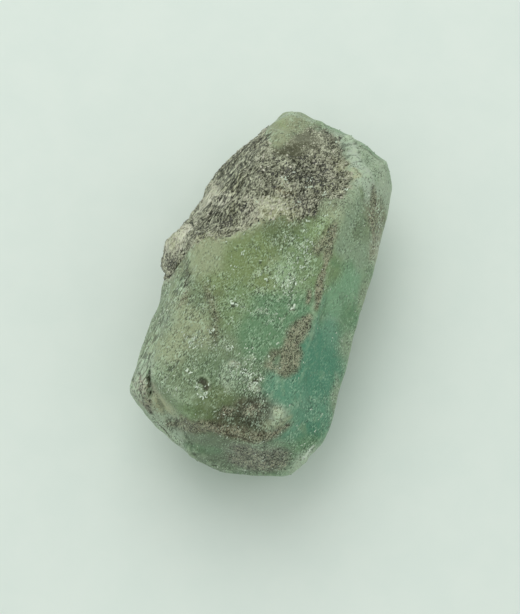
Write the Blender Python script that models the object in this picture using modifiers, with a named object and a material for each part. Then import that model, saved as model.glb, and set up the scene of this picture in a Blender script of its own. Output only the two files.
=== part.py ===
"""Raw emerald crystal: a stubby six-sided beryl prism that lies on its side.

The prism runs along Y. Its far end still carries the mica schist that it grew in, and its near end
is worn round. Lengths are in metres, +Z is up, and the stone rests on a flat at Z = 0.

The stone is one natural piece, so it is one solid. It is cut from a block by named faces, as a
crystal is bounded, joined with lumps of schist, chipped by scoops, worn round, and then roughened
by relief that differs between the beryl and the schist. The crack and the resting flat come last.
"""

import math

import bmesh
import bpy
import numpy as np
from mathutils import Matrix, Vector, noise

MM = 0.001

# Driving dimensions of the prism. Beryl has six prism faces, 60 degrees apart.
HEIGHT = 21.0 * MM  # from the resting flat to the upper prism face
LENGTH = 51.0 * MM  # between the two ends
CENTRE = Vector((0.0, 0.0, HEIGHT / 2))
BLOCK = 2 * LENGTH  # the block that the faces are cut from, larger than the stone on all sides

# A face is (angle around the Y axis from straight up towards +X in degrees, lean towards +Y in
# degrees, distance from CENTRE). The stone lies behind each of its faces.
PRISM_FACES = {
    "upper": (0, 0, 10.5 * MM),
    "upper_right": (60, 0, 12.6 * MM),
    "lower_right": (120, 0, 11.6 * MM),
    "lower": (180, 0, 10.45 * MM),
    "lower_left": (240, 0, 9.7 * MM),
    "upper_left": (300, 0, 13.5 * MM),
}
NEAR_END_FACES = {
    "near_chamfer": (2, -47, 23.0 * MM),
    "near_left": (-42, -50, 24.6 * MM),
    "near_right": (60, -30, 20.2 * MM),
    "near_right_facet": (16, -5, 13.1 * MM),
    "near_left_low": (-76, -55, 22.9 * MM),
    "near_left_wall": (-70, -65, 24.4 * MM),
    "near_wall_left": (-31, -78, 25.2 * MM),
    "near_wall": (34, -78, 25.6 * MM),
    "near_wall_right": (66, -60, 24.9 * MM),
    "near_right_low": (81, -26, 20.1 * MM),
    "near_right_wall": (85, -11, 16.9 * MM),
    "near_undercut": (166, -48, 22.4 * MM),
    "near_left_undercut": (-145, -45, 21.1 * MM),
    "near_right_undercut": (127, -15, 16.1 * MM),
}
# Steep faces of the clear beryl that stand over the schist like a shoulder.
SHOULDER_FACES = {
    "shoulder_left": (-42, 40, 11.3 * MM),
    "shoulder_far": (-24, 45, 12.1 * MM),
}
FAR_END_FACES = {
    "far_right": (78, 30, 22.9 * MM),
    "far_wall_right": (53, 55, 23.6 * MM),
    "far_wall": (30, 67, 24.0 * MM),
    "far_tip": (-25, 73, 26.4 * MM),
    "far_undercut": (163, 53, 21.6 * MM),
    "far_right_undercut": (136, 38, 18.3 * MM),
}
# The far half: beryl below and mica schist above, set a little lower than the clear half.
SCHIST_FACES = {
    "schist_top": (0, 3, 10.15 * MM),
    "schist_right": (60, 0, 12.5 * MM),
    "schist_low_right": (120, 0, 11.5 * MM),
    "schist_bottom": (180, 1, 10.55 * MM),
    "schist_slope": (0, 28, 13.8 * MM),
    "schist_flank": (-40, 12, 11.9 * MM),
    "schist_corner": (-66, 34, 19.0 * MM),
    "schist_left": (-65, 6, 13.3 * MM),
    "schist_left_low": (-62, 24, 13.1 * MM),
    "schist_undercut": (-131, 29, 16.6 * MM),
    "schist_left_undercut": (-126, 11, 12.9 * MM),
    "schist_low_left": (240, 0, 10.6 * MM),
    "schist_root": (-60, -60, 6.0 * MM),
}
# The plate that is splitting away from the left side near the end.
PLATE_FACES = {
    "plate_top": (299, 0, 13.4 * MM),
    "plate_outside": (272, 0, 13.75 * MM),
    "plate_under": (238, 0, 10.6 * MM),
    "plate_near_end": (-90, -55, 24.3 * MM),
    "plate_near_wall": (-70, -65, 24.5 * MM),
    "plate_undercut": (-145, -45, 21.0 * MM),
    "plate_far_end": (-75, 62, -1.0 * MM),
    "plate_inside": (60, 0, -6.0 * MM),
    "plate_foot": (180, 0, 2.5 * MM),
}

SCHIST_START = -8.0 * MM  # no schist lies nearer than this along the prism

# Lumps of schist: centre and radii in millimetres, and turn about Z in degrees.
LUMPS = {
    "knob": ((-12.2, 0.9, 11.6), (2.4, 3.6, 3.6), 14),
    "heel": ((-9.4, 5.2, 11.4), (2.2, 3.4, 3.4), 12),
}

# Shell-shaped chips in the edges: centre and radius in millimetres of the ball that scoops each.
SCOOPS = {
    "far_rim": ((8.0, 29.5, 18.6), 7.4),
    "far_right_rim": ((17.2, 23.5, 17.0), 5.4),
    "near_right_low": ((15.5, -25.0, 5.0), 6.4),
    "near_left_low": ((-9.5, -28.0, 3.0), 6.6),
    "under_left": ((-15.5, -4.0, 2.0), 6.5),
    "under_right": ((16.5, 2.5, 0.5), 7.0),
    "under_right_far": ((15.0, 17.0, 0.0), 6.0),
    "under_near": ((3.0, -27.5, -2.5), 7.5),
    "under_far": ((-2.0, 27.5, -1.5), 8.0),
    "base_left": ((-8.5, -13.0, -4.2), 5.6),
    "base_right": ((9.5, -9.0, -5.2), 6.2),
    "base_far_left": ((-8.0, 12.0, -4.6), 5.4),
    "shoulder_bite": ((-6.3, 5.5, 24.5), 5.1),
}

# Broad swellings and hollows of the worn surface: centre, reach and height in millimetres.
SWELLS = {
    "right_swell": ((13.8, 10.0, 12.0), 12.0, 0.75),
    "schist_swell": ((-11.5, 17.0, 12.5), 7.0, 1.7),
    "far_tip_swell": ((-6.0, 25.5, 12.0), 4.5, 1.1),
    "knob_swell": ((-14.5, 0.0, 11.5), 3.0, 0.25),
    "face_hollow": ((-1.0, -19.5, 21.0), 3.0, -0.35),
}

VOXEL = 0.45 * MM
WEAR_PASSES = 6
# Relief is (grain across the stone, grain along the prism, height), all in millimetres.
UNDULATION = (8.0, 12.0, 0.5)
BERYL_RELIEF = (2.6, 6.5, 0.14)
SCHIST_RELIEF = (2.4, 3.0, 0.42)
TRIANGLES = 7000
MERGE_DISTANCE = 0.04 * MM

# The crack behind the plate is a wedge that narrows downwards. Its path in plan, each with the
# width of the wedge at CRACK_TOP in millimetres.
CRACK_PATH = (((-10.3, -28.0), 1.4), ((-10.5, -22.7), 1.2), ((-11.1, -19.5), 0.9), ((-12.4, -15.0), 0.1))
CRACK_TOP = 19.5
CRACK_BOTTOM = 12.8


def clear_scene():
    for thing in list(bpy.data.objects):
        bpy.data.objects.remove(thing)


def face_normal(around, lean):
    """The outward direction of a face from its two angles."""
    a, t = math.radians(around), math.radians(lean)
    return Vector((math.sin(a) * math.cos(t), math.sin(t), math.cos(a) * math.cos(t)))


def new_object(name, bm, collection):
    mesh = bpy.data.meshes.new(name)
    bm.to_mesh(mesh)
    bm.free()
    made = bpy.data.objects.new(name, mesh)
    collection.objects.link(made)
    return made


def cut_away(bm, point, normal):
    """Removes the part of a solid beyond a plane and closes the cut."""
    cut = bmesh.ops.bisect_plane(
        bm,
        geom=bm.verts[:] + bm.edges[:] + bm.faces[:],
        plane_co=point,
        plane_no=normal,
        clear_outer=True,
    )
    rim = [part for part in cut["geom_cut"] if isinstance(part, bmesh.types.BMEdge)]
    if rim:
        bmesh.ops.contextual_create(bm, geom=rim)


def cut_body(name, faces, collection):
    """A block cut back by every face in turn."""
    bm = bmesh.new()
    bmesh.ops.create_cube(bm, size=BLOCK, matrix=Matrix.Translation(CENTRE))
    for around, lean, distance in faces.values():
        normal = face_normal(around, lean)
        cut_away(bm, CENTRE + normal * distance, normal)
    bmesh.ops.recalc_face_normals(bm, faces=bm.faces[:])
    return new_object(name, bm, collection)


def ball(name, centre, radii, turn, collection):
    """A ball stretched to three radii, in millimetres."""
    place = (
        Matrix.Translation(Vector(centre) * MM)
        @ Matrix.Rotation(math.radians(turn), 4, "Z")
        @ Matrix.Diagonal((*(r * MM for r in radii), 1.0))
    )
    bm = bmesh.new()
    bmesh.ops.create_icosphere(bm, subdivisions=4, radius=1.0, matrix=place)
    return new_object(name, bm, collection)


def join_or_cut(target, other, operation):
    modifier = target.modifiers.new(f"{operation.lower()} {other.name}", "BOOLEAN")
    modifier.operation = operation
    modifier.object = other
    modifier.solver = "EXACT"
    other.hide_render = True
    other.display_type = "WIRE"


def apply_modifiers(thing):
    graph = bpy.context.evaluated_depsgraph_get()
    mesh = bpy.data.meshes.new_from_object(thing.evaluated_get(graph))
    thing.modifiers.clear()
    thing.data = mesh


def wear(body):
    """Rounds the edges off: an even skin over the solid, then smoothing."""
    skin = body.modifiers.new("even skin", "REMESH")
    skin.mode = "VOXEL"
    skin.voxel_size = VOXEL
    smooth = body.modifiers.new("worn edges", "SMOOTH")
    smooth.iterations = WEAR_PASSES
    smooth.factor = 0.5
    apply_modifiers(body)


def schist_weight(points):
    """1 where a point lies outside the beryl's own faces, fading to 0 inside them."""
    beyond = np.full(len(points), -1.0)
    for around, lean, distance in (SHOULDER_FACES | PRISM_FACES).values():
        normal = np.array(face_normal(around, lean))
        beyond = np.maximum(beyond, (points - np.array(CENTRE)) @ normal - distance)
    in_far_half = np.clip((points[:, 1] - SCHIST_START) / (2 * MM), 0.0, 1.0)
    return np.clip(beyond / (0.6 * MM) - 0.3, 0.0, 1.0) * in_far_half


def relief(points, across, along, height):
    """Heights of a bumpy surface in metres, stretched along the prism."""
    scale = np.array([1 / across, 1 / along, 1 / across]) / MM
    return np.array([noise.fractal(p, 1.0, 2.0, 2) for p in (points * scale).tolist()]) * height * MM


def roughen(body):
    mesh = body.data
    count = len(mesh.vertices)
    points = np.empty(count * 3)
    mesh.vertices.foreach_get("co", points)
    points = points.reshape(count, 3)
    normals = np.empty(count * 3, dtype=np.float32)
    mesh.vertex_normals.foreach_get("vector", normals)
    schist = schist_weight(points)
    lift = relief(points, *UNDULATION)
    lift += relief(points, *BERYL_RELIEF) * (1 - schist) + relief(points, *SCHIST_RELIEF) * schist
    for centre, reach, height in SWELLS.values():
        away = np.linalg.norm(points - np.array(centre) * MM, axis=1) / (reach * MM)
        lift += height * MM * np.exp(-(away**2))
    points += normals.reshape(count, 3) * lift[:, None]
    mesh.vertices.foreach_set("co", points.ravel())
    mesh.update()


def thin_out(body):
    facets = body.modifiers.new("facets", "DECIMATE")
    facets.ratio = min(1.0, TRIANGLES / sum(len(face.vertices) - 2 for face in body.data.polygons))
    facets.use_collapse_triangulate = True
    apply_modifiers(body)


def crack_wedge(collection):
    """A wedge along the crack's path, open at the top and ending in an edge inside the stone."""
    bm = bmesh.new()
    rings = []
    for (x, y), width in CRACK_PATH:
        corners = (
            (x - width / 2, y, CRACK_TOP),
            (x + width / 2, y, CRACK_TOP),
            (x + 0.6, y, CRACK_BOTTOM),
        )
        rings.append([bm.verts.new(Vector(corner) * MM) for corner in corners])
    for one, other in zip(rings, rings[1:]):
        for i in range(3):
            j = (i + 1) % 3
            bm.faces.new((one[i], one[j], other[j], other[i]))
    bm.faces.new(rings[0])
    bm.faces.new(rings[-1])
    bmesh.ops.recalc_face_normals(bm, faces=bm.faces[:])
    return new_object("crack", bm, collection)


def ground_block(collection):
    """A block below Z = 0, larger than the stone, that cuts its resting flat."""
    bm = bmesh.new()
    bmesh.ops.create_cube(bm, size=BLOCK, matrix=Matrix.Translation((0.0, 0.0, -BLOCK / 2)))
    return new_object("ground", bm, collection)


def linked_pieces(bm):
    """The separate pieces of a mesh, each a set of vertices."""
    pieces = []
    left = set(bm.verts)
    while left:
        piece = set()
        edge_of_piece = [left.pop()]
        while edge_of_piece:
            vert = edge_of_piece.pop()
            piece.add(vert)
            for edge in vert.link_edges:
                other = edge.other_vert(vert)
                if other in left:
                    left.remove(other)
                    edge_of_piece.append(other)
        pieces.append(piece)
    return pieces


def finish_shape(body):
    """Drops the crumbs that the cuts leave and centres the stone over the origin."""
    bm = bmesh.new()
    bm.from_mesh(body.data)
    pieces = sorted(linked_pieces(bm), key=len)
    crumbs = [vert for piece in pieces[:-1] for vert in piece]
    bmesh.ops.delete(bm, geom=crumbs, context="VERTS")
    bmesh.ops.remove_doubles(bm, verts=bm.verts[:], dist=MERGE_DISTANCE)
    low = [min(v.co[i] for v in bm.verts) for i in range(3)]
    high = [max(v.co[i] for v in bm.verts) for i in range(3)]
    bmesh.ops.translate(
        bm, verts=bm.verts[:], vec=(-(low[0] + high[0]) / 2, -(low[1] + high[1]) / 2, 0.0)
    )
    bm.to_mesh(body.data)
    bm.free()


def stone_material():
    material = bpy.data.materials.new("emerald_and_schist")
    material.use_nodes = True
    shader = material.node_tree.nodes["Principled BSDF"]
    shader.inputs["Base Color"].default_value = (0.19, 0.28, 0.15, 1.0)
    shader.inputs["Roughness"].default_value = 0.45
    shader.inputs["Metallic"].default_value = 0.0
    return material


def main():
    clear_scene()
    stone = bpy.data.collections.new("raw_emerald_crystal")
    helpers = bpy.data.collections.new("helpers")
    for collection in (stone, helpers):
        bpy.context.scene.collection.children.link(collection)
    body = cut_body(
        "emerald_crystal", PRISM_FACES | NEAR_END_FACES | SHOULDER_FACES | FAR_END_FACES, stone
    )
    joined = [
        cut_body("schist", SCHIST_FACES | FAR_END_FACES, helpers),
        cut_body("plate", PLATE_FACES, helpers),
    ]
    joined += [ball(name, *shape, helpers) for name, shape in LUMPS.items()]
    for other in joined:
        join_or_cut(body, other, "UNION")
    for name, (centre, radius) in SCOOPS.items():
        join_or_cut(body, ball(name, centre, (radius,) * 3, 0, helpers), "DIFFERENCE")
    wear(body)
    roughen(body)
    thin_out(body)
    join_or_cut(body, crack_wedge(helpers), "DIFFERENCE")
    join_or_cut(body, ground_block(helpers), "DIFFERENCE")
    apply_modifiers(body)
    finish_shape(body)
    body.data.materials.clear()
    body.data.materials.append(stone_material())


main()
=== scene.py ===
"""Raw emerald crystal with mica schist on its far end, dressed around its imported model.

The skin is the CAD stone's own surface, remeshed finely and roughened the way each rock breaks:
green beryl is etched along its length, and schist is layered and granular. Loose-looking mica
flakes, feldspar grains, beryl splinters and bright chips are separate pieces, half sunk in that
skin. Lengths in the tables are millimetres, in the same frame as the CAD. The scene is in metres.
"""

import math
from collections import namedtuple
from functools import partial

import bmesh
import bpy
import numpy as np
from mathutils import Matrix, Vector


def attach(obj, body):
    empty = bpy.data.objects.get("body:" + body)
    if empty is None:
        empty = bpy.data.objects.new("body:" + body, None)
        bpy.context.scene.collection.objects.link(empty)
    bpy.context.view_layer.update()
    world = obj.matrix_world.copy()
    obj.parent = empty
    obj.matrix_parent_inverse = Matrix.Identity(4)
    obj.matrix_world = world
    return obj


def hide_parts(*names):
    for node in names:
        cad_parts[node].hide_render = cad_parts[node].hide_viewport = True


MM = 0.001
NODE = "emerald_crystal"

# The mica leaves and the streaks in the beryl run almost along the stone, turned about Z by this.
GRAIN_TURN = math.radians(-14.5)
STEEP_STRETCH = 2.4  # how much longer the patterns of the finishes are upwards than across

SKIN_VOXEL = 0.245
SKIN_SMOOTHING = 8
SKIN_OVER = 0.3  # the roughness stays within the smooth stone's box, made this much larger
# The two shares below also colour the skin: a painted highlight where it stands over its neighbours, painted
# shade where it sinks under them, and a further painted highlight on broad rises, partly for rubbed wear.
SMALL_RELIEF = 0.05  # a point this far over its close neighbours counts as proud by 1
BROAD_RELIEF = 0.20  # a point this far over its wider surroundings counts as rubbed by 1

# Kinds of relief: size across the grain of the stone, size along it, height, and the seed of the noise.
Relief = namedtuple("Relief", "across along height seed")
ETCHING = Relief(0.60, 1.7, 0.07, 21)
RIPPLES = Relief(2.2, 4.6, 0.12, 25)
SCALLOPS = Relief(1.9, 2.6, 0.22, 27)
BRUISES = Relief(0.8, 1.1, 0.30, 31)
FILM_GRIT = Relief(0.55, 0.8, 0.08, 35)
LEAVES = Relief(0.70, 3.4, 0.22, 41)
CRUST = Relief(0.70, 1.00, 0.22, 45)
CRUST_GRIT = Relief(0.9, 1.1, 0.12, 47)
GROOVE_EDGE = 0.16  # softness of a groove's edge

# The small pieces: half length, half width, thickness, lean, lift in thicknesses, seed. The first two
# of the chips are for each millimetre of their glint's half length.
FLAKES = {
    "mica_silver": (0.33, 0.12, 0.05, 0.30, 0.1, 71),
    "mica_dark": (0.32, 0.13, 0.05, 0.30, 0.1, 72),
    "feldspar_grains": (0.26, 0.18, 0.16, 0.45, 0.0, 73),
    "beryl_sparkle_splinters": (0.22, 0.08, 0.10, 0.55, 0.1, 74),
    "beryl_glint_chips": (1.15, 0.45, 0.12, 0.60, 0.4, 75),
}
# Their finishes: name, roughness, IOR, darkest and palest tone, and how much light enters.
FLAKE_FINISHES = {
    # Muscovite, cleaved: silvery plates with a pearly shine.
    "mica_silver": ("muscovite_cleaved", 0.30, 1.58, "#5c5d49", "#c9cbb4", 0.0),
    # Biotite, cleaved: plates that are nearly black, and almost as shiny.
    "mica_dark": ("biotite_cleaved", 0.35, 1.60, "#1c1c12", "#4a4a38", 0.0),
    # Feldspar, crushed: chalky grains, dull on their broken faces.
    "feldspar_grains": ("feldspar_crushed", 0.50, 1.53, "#9a9985", "#d6d4c2", 0.0),
    # Beryl, splintered: pale green slivers, glassy on their fresh faces; their palest tones are painted
    # sparkle.
    "beryl_sparkle_splinters": ("beryl_splintered_sparkle", 0.18, 1.58, "#7d9379", "#dfe9d8", 0.2),
    # Beryl, chipped: fresh faces painted near white, as small painted glints.
    "beryl_glint_chips": ("beryl_chipped_glint", 0.12, 1.58, "#b9cab0", "#eefaea", 0.1),
}

# Where schist covers the beryl, as an outline in plan (x, y). It runs round outside the stone on
# the far side and the left.
SCHIST_OUTLINE = (
    (-12.4, -4.9), (-11.5, -3.8), (-10.6, -2.1), (-9.6, -1.0), (-8.0, 0.5), (-6.9, 0.9), (-5.9, 1.0),
    (-5.0, 1.8), (-3.9, 2.7), (-2.7, 3.4), (-1.9, 4.3), (-0.8, 5.0), (1.5, 6.2), (3.6, 6.4), (5.0, 7.3),
    (5.4, 9.2), (6.2, 10.7), (7.4, 10.0), (8.8, 10.7), (8.9, 12.8), (8.8, 14.8), (8.1, 16.5), (7.0, 18.3),
    (6.4, 20.7), (5.7, 22.4), (3.9, 23.2), (2.1, 23.2), (0.6, 22.6), (-0.3, 21.2), (-1.0, 19.5),
    (-1.8, 17.6), (-2.8, 16.8), (-4.3, 18.9), (-5.5, 26.0), (-20.0, 26.0), (-20.0, -4.9),
)
SCHIST_FOOT = (2.0, 6.0)  # above the second height the schist is whole, and below the first it is gone
FRINGE = 2.4  # how far loose grains of it straggle over the beryl
FRINGE_CREST = (-5.0, -1.0)  # left of the first x the fringe is thin, and right of the second it is full
FRINGE_RIM = (11.5, 14.0)  # beyond the second y there is none

# The beryl's colours, from iron-stained to chromium-rich, and those of the schist.
PALETTE = {
    "milky": "#97a17d", "frost": "#a3b199", "ash_green": "#859377", "spring": "#788a55", "moss": "#607145",
    "leaf": "#758d5e", "apple": "#829963", "fern": "#738562", "sage": "#869a7d", "jade": "#78a07c",
    "sea": "#608760", "pale_sea": "#7a946f", "teal": "#5c8f73", "deep_teal": "#448367", "bottle": "#67775e",
    "olive": "#4e5338", "graphite": "#4d4e37", "lead": "#696b56", "slate": "#8b8c76", "silver": "#80836e",
    "ash": "#a6a892", "feldspar": "#d6d4c2", "beige": "#a5a886", "tan": "#999c77",
    "yellow_green": "#919776", "lime": "#9aa777", "mint": "#a9b8a2", "rim_glow_mint": "#b6c3b0",
    "cream": "#b4b894", "chalk": "#b8b6a2", "rust": "#93866b", "mauve": "#948c7c", "clay": "#766f54",
    "umber": "#514932", "coal": "#2c2d22", "bark": "#7b7b5f", "stone": "#75776a", "pine": "#647c58",
    "celadon": "#90aa80", "loam": "#2e2c11", "cocoa": "#5e5246", "blush": "#c8bbac", "highlight_white": "#dce6d8",
}

# Each spot pulls the surface round it: (x, y, z, reach, colour, how broken it is from 0 to 1.5).
BERYL_SPOTS = (
    # The upper face of the prism, from its left edge to its right one.
    (-9.7, -2.8, 20.8, 1.2, "milky", 0.9), (-7.3, -2.9, 21.3, 2.0, "milky", 0.4),
    (-6.4, -0.9, 21.3, 1.5, "milky", 0.35), (-7.0, -8.0, 21.3, 1.6, "fern", 0.8),
    (-7.6, -10.8, 21.4, 1.4, "milky", 0.9), (-7.8, -14.2, 21.3, 1.8, "milky", 0.7),
    (-5.4, -12.9, 21.3, 1.6, "milky", 1.1), (-8.4, -16.1, 21.3, 1.6, "milky", 0.8),
    (-8.4, -19.7, 21.3, 1.6, "fern", 1.0), (-5.0, -16.5, 21.2, 1.6, "fern", 1.1),
    (-6.0, -21.1, 21.2, 2.0, "fern", 0.8), (-5.0, -22.9, 20.0, 1.5, "leaf", 0.5),
    (-2.0, -23.0, 20.6, 1.5, "moss", 0.5), (-4.0, -1.0, 21.2, 1.6, "spring", 0.5),
    (-2.2, -2.2, 21.2, 2.0, "spring", 0.5), (-0.9, 0.8, 21.2, 1.8, "spring", 0.8),
    (1.5, 3.6, 21.2, 1.8, "moss", 0.9), (-5.2, -5.9, 21.2, 1.8, "spring", 0.9),
    (-1.8, -6.5, 21.0, 1.8, "leaf", 0.9), (0.8, -3.9, 21.1, 1.8, "spring", 1.2),
    (4.6, 1.8, 21.1, 1.6, "leaf", 1.2), (3.6, -2.0, 21.2, 1.4, "celadon", 1.3),
    (6.0, -1.0, 21.2, 1.4, "leaf", 1.0), (1.4, -6.3, 21.1, 1.5, "sea", 0.9),
    (3.6, -7.2, 21.1, 1.8, "sea", 0.9), (-2.6, -10.0, 21.0, 1.6, "leaf", 1.0),
    (-1.8, -13.3, 21.0, 1.8, "fern", 1.0), (1.1, -11.5, 21.1, 2.0, "sea", 0.6),
    (3.8, -11.5, 21.1, 1.6, "sea", 0.7), (2.5, -17.0, 21.2, 1.6, "pine", 1.3),
    (0.1, -17.4, 21.0, 1.6, "sage", 1.1), (-3.2, -17.3, 21.1, 1.8, "pine", 0.8),
    (-0.8, -21.0, 21.0, 1.8, "moss", 0.45), (0.6, -23.3, 19.9, 1.5, "olive", 1.0),
    (4.4, -21.6, 21.0, 1.8, "loam", 1.1), (7.4, -21.0, 20.6, 1.1, "frost", 0.8),
    (6.6, -17.3, 21.1, 1.6, "teal", 0.4), (8.4, -18.0, 20.4, 1.8, "teal", 0.5),
    (7.3, 5.2, 21.3, 1.6, "apple", 0.9), (8.3, 8.5, 21.2, 1.5, "milky", 0.8),
    (8.7, -1.6, 21.0, 1.2, "leaf", 0.9),
    # The upper left face and the plate that splits from it.
    (-9.4, -6.7, 21.0, 1.4, "fern", 1.4), (-9.9, -8.9, 20.5, 1.8, "milky", 1.2),
    (-10.4, -12.0, 19.6, 1.8, "ash_green", 1.1), (-11.2, -14.9, 18.0, 1.8, "milky", 1.1),
    (-11.7, -17.7, 17.2, 1.8, "frost", 1.1), (-11.7, -20.8, 16.8, 1.6, "chalk", 1.3),
    (-10.1, -22.2, 14.8, 1.2, "slate", 0.9), (-9.0, -21.9, 15.4, 1.4, "cream", 0.5),
    (-12.5, -10.0, 12.0, 3.5, "ash_green", 1.0), (-11.5, -17.0, 7.0, 3.5, "sage", 0.9),
    # The upper right face, clear and strongly coloured towards the near end.
    (9.9, 9.0, 19.8, 1.8, "sage", 0.6), (11.6, 8.1, 17.6, 1.6, "fern", 0.7),
    (9.9, 4.5, 19.8, 1.8, "sage", 0.5), (12.4, 5.0, 16.4, 1.8, "sage", 0.45),
    (9.6, 1.2, 20.0, 1.5, "leaf", 0.5), (12.1, 0.5, 16.2, 2.0, "jade", 0.3),
    (10.8, -3.2, 17.3, 2.0, "jade", 0.35), (9.4, -5.3, 19.8, 1.5, "sea", 0.4),
    (12.3, -3.3, 14.6, 1.8, "sea", 0.35), (11.0, -6.8, 17.0, 2.0, "teal", 0.35),
    (9.7, -10.2, 19.4, 2.0, "deep_teal", 0.3), (11.4, -11.5, 16.2, 2.2, "deep_teal", 0.3),
    (9.4, -14.8, 20.0, 2.0, "deep_teal", 0.4), (12.1, -14.1, 15.6, 2.2, "deep_teal", 0.4),
    (9.5, -18.2, 19.7, 1.6, "teal", 0.4), (11.7, -17.5, 15.6, 2.0, "teal", 0.6),
    (12.0, -20.0, 14.4, 1.8, "deep_teal", 0.55), (10.1, -20.4, 17.3, 1.5, "teal", 0.55),
    (13.4, 12.2, 14.5, 1.8, "bark", 1.2), (14.3, 8.0, 12.3, 1.6, "ash", 1.0),
    (14.2, 1.3, 11.7, 1.6, "ash_green", 0.7), (13.6, -6.7, 12.2, 1.6, "sage", 0.8),
    (13.6, -14.2, 12.4, 1.6, "sage", 0.9), (13.0, 5.0, 6.0, 4.0, "sea", 0.7),
    (12.5, -8.0, 6.0, 4.0, "teal", 0.6),
    # The near end.
    (-8.4, -23.3, 11.5, 1.6, "frost", 1.0), (-6.0, -24.2, 10.3, 1.8, "mint", 0.9),
    (-3.1, -25.6, 11.3, 1.8, "bottle", 0.6), (-0.9, -25.8, 12.7, 2.0, "bottle", 0.5),
    (3.3, -25.9, 12.7, 1.8, "olive", 1.2), (6.6, -25.3, 12.6, 1.8, "slate", 1.3),
    (9.0, -24.0, 12.3, 1.8, "sea", 0.9), (11.6, -21.6, 13.1, 1.6, "sea", 0.8),
    (11.4, -23.2, 10.2, 1.6, "mint", 0.9), (0.5, -26.5, 9.0, 1.8, "bottle", 0.8),
    (5.0, -26.0, 8.5, 1.8, "bottle", 1.0), (5.0, -25.0, 4.0, 3.5, "sea", 0.8),
    # The clear rim of the far right corner: pale partly in its own milky colour, partly as painted light
    # coming through the thin rim.
    (5.7, 22.0, 14.5, 1.4, "mint", 0.8), (7.6, 20.0, 15.4, 1.6, "frost", 0.5),
    (9.9, 17.2, 17.0, 1.6, "mint", 0.7), (11.7, 17.6, 16.0, 1.8, "frost", 0.6),
    (14.0, 16.2, 12.7, 1.6, "frost", 0.6), (12.0, 14.6, 16.6, 1.2, "mint", 0.5),
    (9.0, 20.0, 7.0, 4.0, "sea", 0.7),
    # The yellowish tip.
    (-2.6, 22.5, 14.0, 1.8, "yellow_green", 0.5), (-2.3, 19.2, 16.5, 1.6, "yellow_green", 0.6),
    # The underside.
    (-6.0, -12.0, 1.0, 4.5, "leaf", 0.9), (4.0, -14.0, 0.5, 4.5, "sea", 0.8),
    (6.0, 3.0, 0.5, 4.5, "moss", 0.9), (-4.0, 4.0, 1.0, 4.5, "leaf", 1.0),
    (2.0, 18.0, 2.0, 4.5, "milky", 0.9),
)

SCHIST_SPOTS = (
    # The flank, where the leaves end.
    (-5.2, 18.1, 15.1, 1.8, "slate", 0.8), (-6.9, 14.3, 15.8, 1.8, "silver", 0.8),
    (-9.6, 16.1, 10.4, 2.4, "graphite", 0.9), (-10.1, 12.4, 11.2, 1.5, "ash", 0.9),
    (-11.3, 11.3, 9.3, 1.5, "ash", 0.9), (-6.6, 10.3, 17.8, 1.6, "beige", 1.0),
    (-4.3, 9.9, 20.1, 1.4, "silver", 1.0), (-9.8, 9.0, 13.8, 1.4, "feldspar", 0.5),
    (-10.2, 6.5, 15.0, 1.1, "ash", 0.8), (-7.8, 7.9, 17.5, 1.3, "feldspar", 0.9),
    (-8.2, 4.2, 18.0, 1.3, "silver", 1.3), (-5.7, 5.6, 19.4, 1.3, "beige", 1.3),
    (-9.9, 3.0, 17.6, 1.2, "beige", 1.2), (-10.2, 0.2, 19.8, 1.2, "ash", 1.0),
    # The knob.
    (-12.9, 1.6, 14.8, 1.3, "beige", 0.5), (-11.5, 2.5, 16.4, 1.3, "feldspar", 0.4),
    (-13.7, 0.4, 13.5, 1.2, "feldspar", 0.8), (-12.1, -2.7, 16.7, 1.2, "chalk", 1.2),
    (-10.9, -1.8, 18.8, 1.2, "lead", 1.0),
    # The slope.
    (0.4, 20.0, 15.9, 1.6, "lead", 0.3), (-0.3, 17.4, 17.0, 1.6, "graphite", 0.3),
    (2.5, 18.6, 16.3, 1.6, "slate", 0.6), (4.8, 19.6, 15.7, 1.4, "silver", 0.9),
    (-1.1, 14.2, 19.1, 1.6, "lead", 0.9), (2.6, 14.8, 18.4, 1.8, "graphite", 1.1),
    (4.8, 15.4, 17.8, 1.5, "chalk", 1.1), (-3.3, 12.4, 19.7, 1.5, "lead", 1.2),
    (2.1, 12.4, 19.9, 1.8, "lead", 1.5), (5.8, 12.2, 19.4, 1.5, "beige", 1.2),
    (8.4, 13.9, 18.5, 1.3, "beige", 1.2), (7.9, 11.6, 19.8, 1.0, "beige", 1.1),
    (7.2, 16.9, 16.8, 1.3, "tan", 0.9),
    # Where it thins out over the crest of the beryl.
    (-1.6, 10.2, 20.4, 1.4, "slate", 1.2), (0.6, 9.4, 20.3, 1.3, "beige", 0.9),
    (-3.5, 5.8, 20.3, 1.2, "chalk", 0.9), (-0.2, 7.5, 20.9, 1.6, "tan", 0.6),
    (2.0, 7.4, 21.3, 1.3, "tan", 0.8), (3.4, 8.7, 21.1, 1.3, "chalk", 1.1),
    (4.8, 7.4, 21.2, 1.2, "graphite", 1.1), (7.0, 10.0, 21.0, 1.4, "lead", 0.9),
    (-8.6, 0.2, 21.2, 0.9, "tan", 0.9),
    # The tip and the hidden sides.
    (-2.3, 19.4, 16.5, 1.2, "yellow_green", 0.5), (-10.0, 12.0, 5.0, 4.0, "silver", 1.0),
    (-11.0, 3.0, 8.0, 3.0, "slate", 1.1), (-4.0, 24.0, 8.0, 3.5, "silver", 1.0),
)

MARKS_WIDER = 0.08  # the films and marks are drawn this much wider than their tables say

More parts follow.
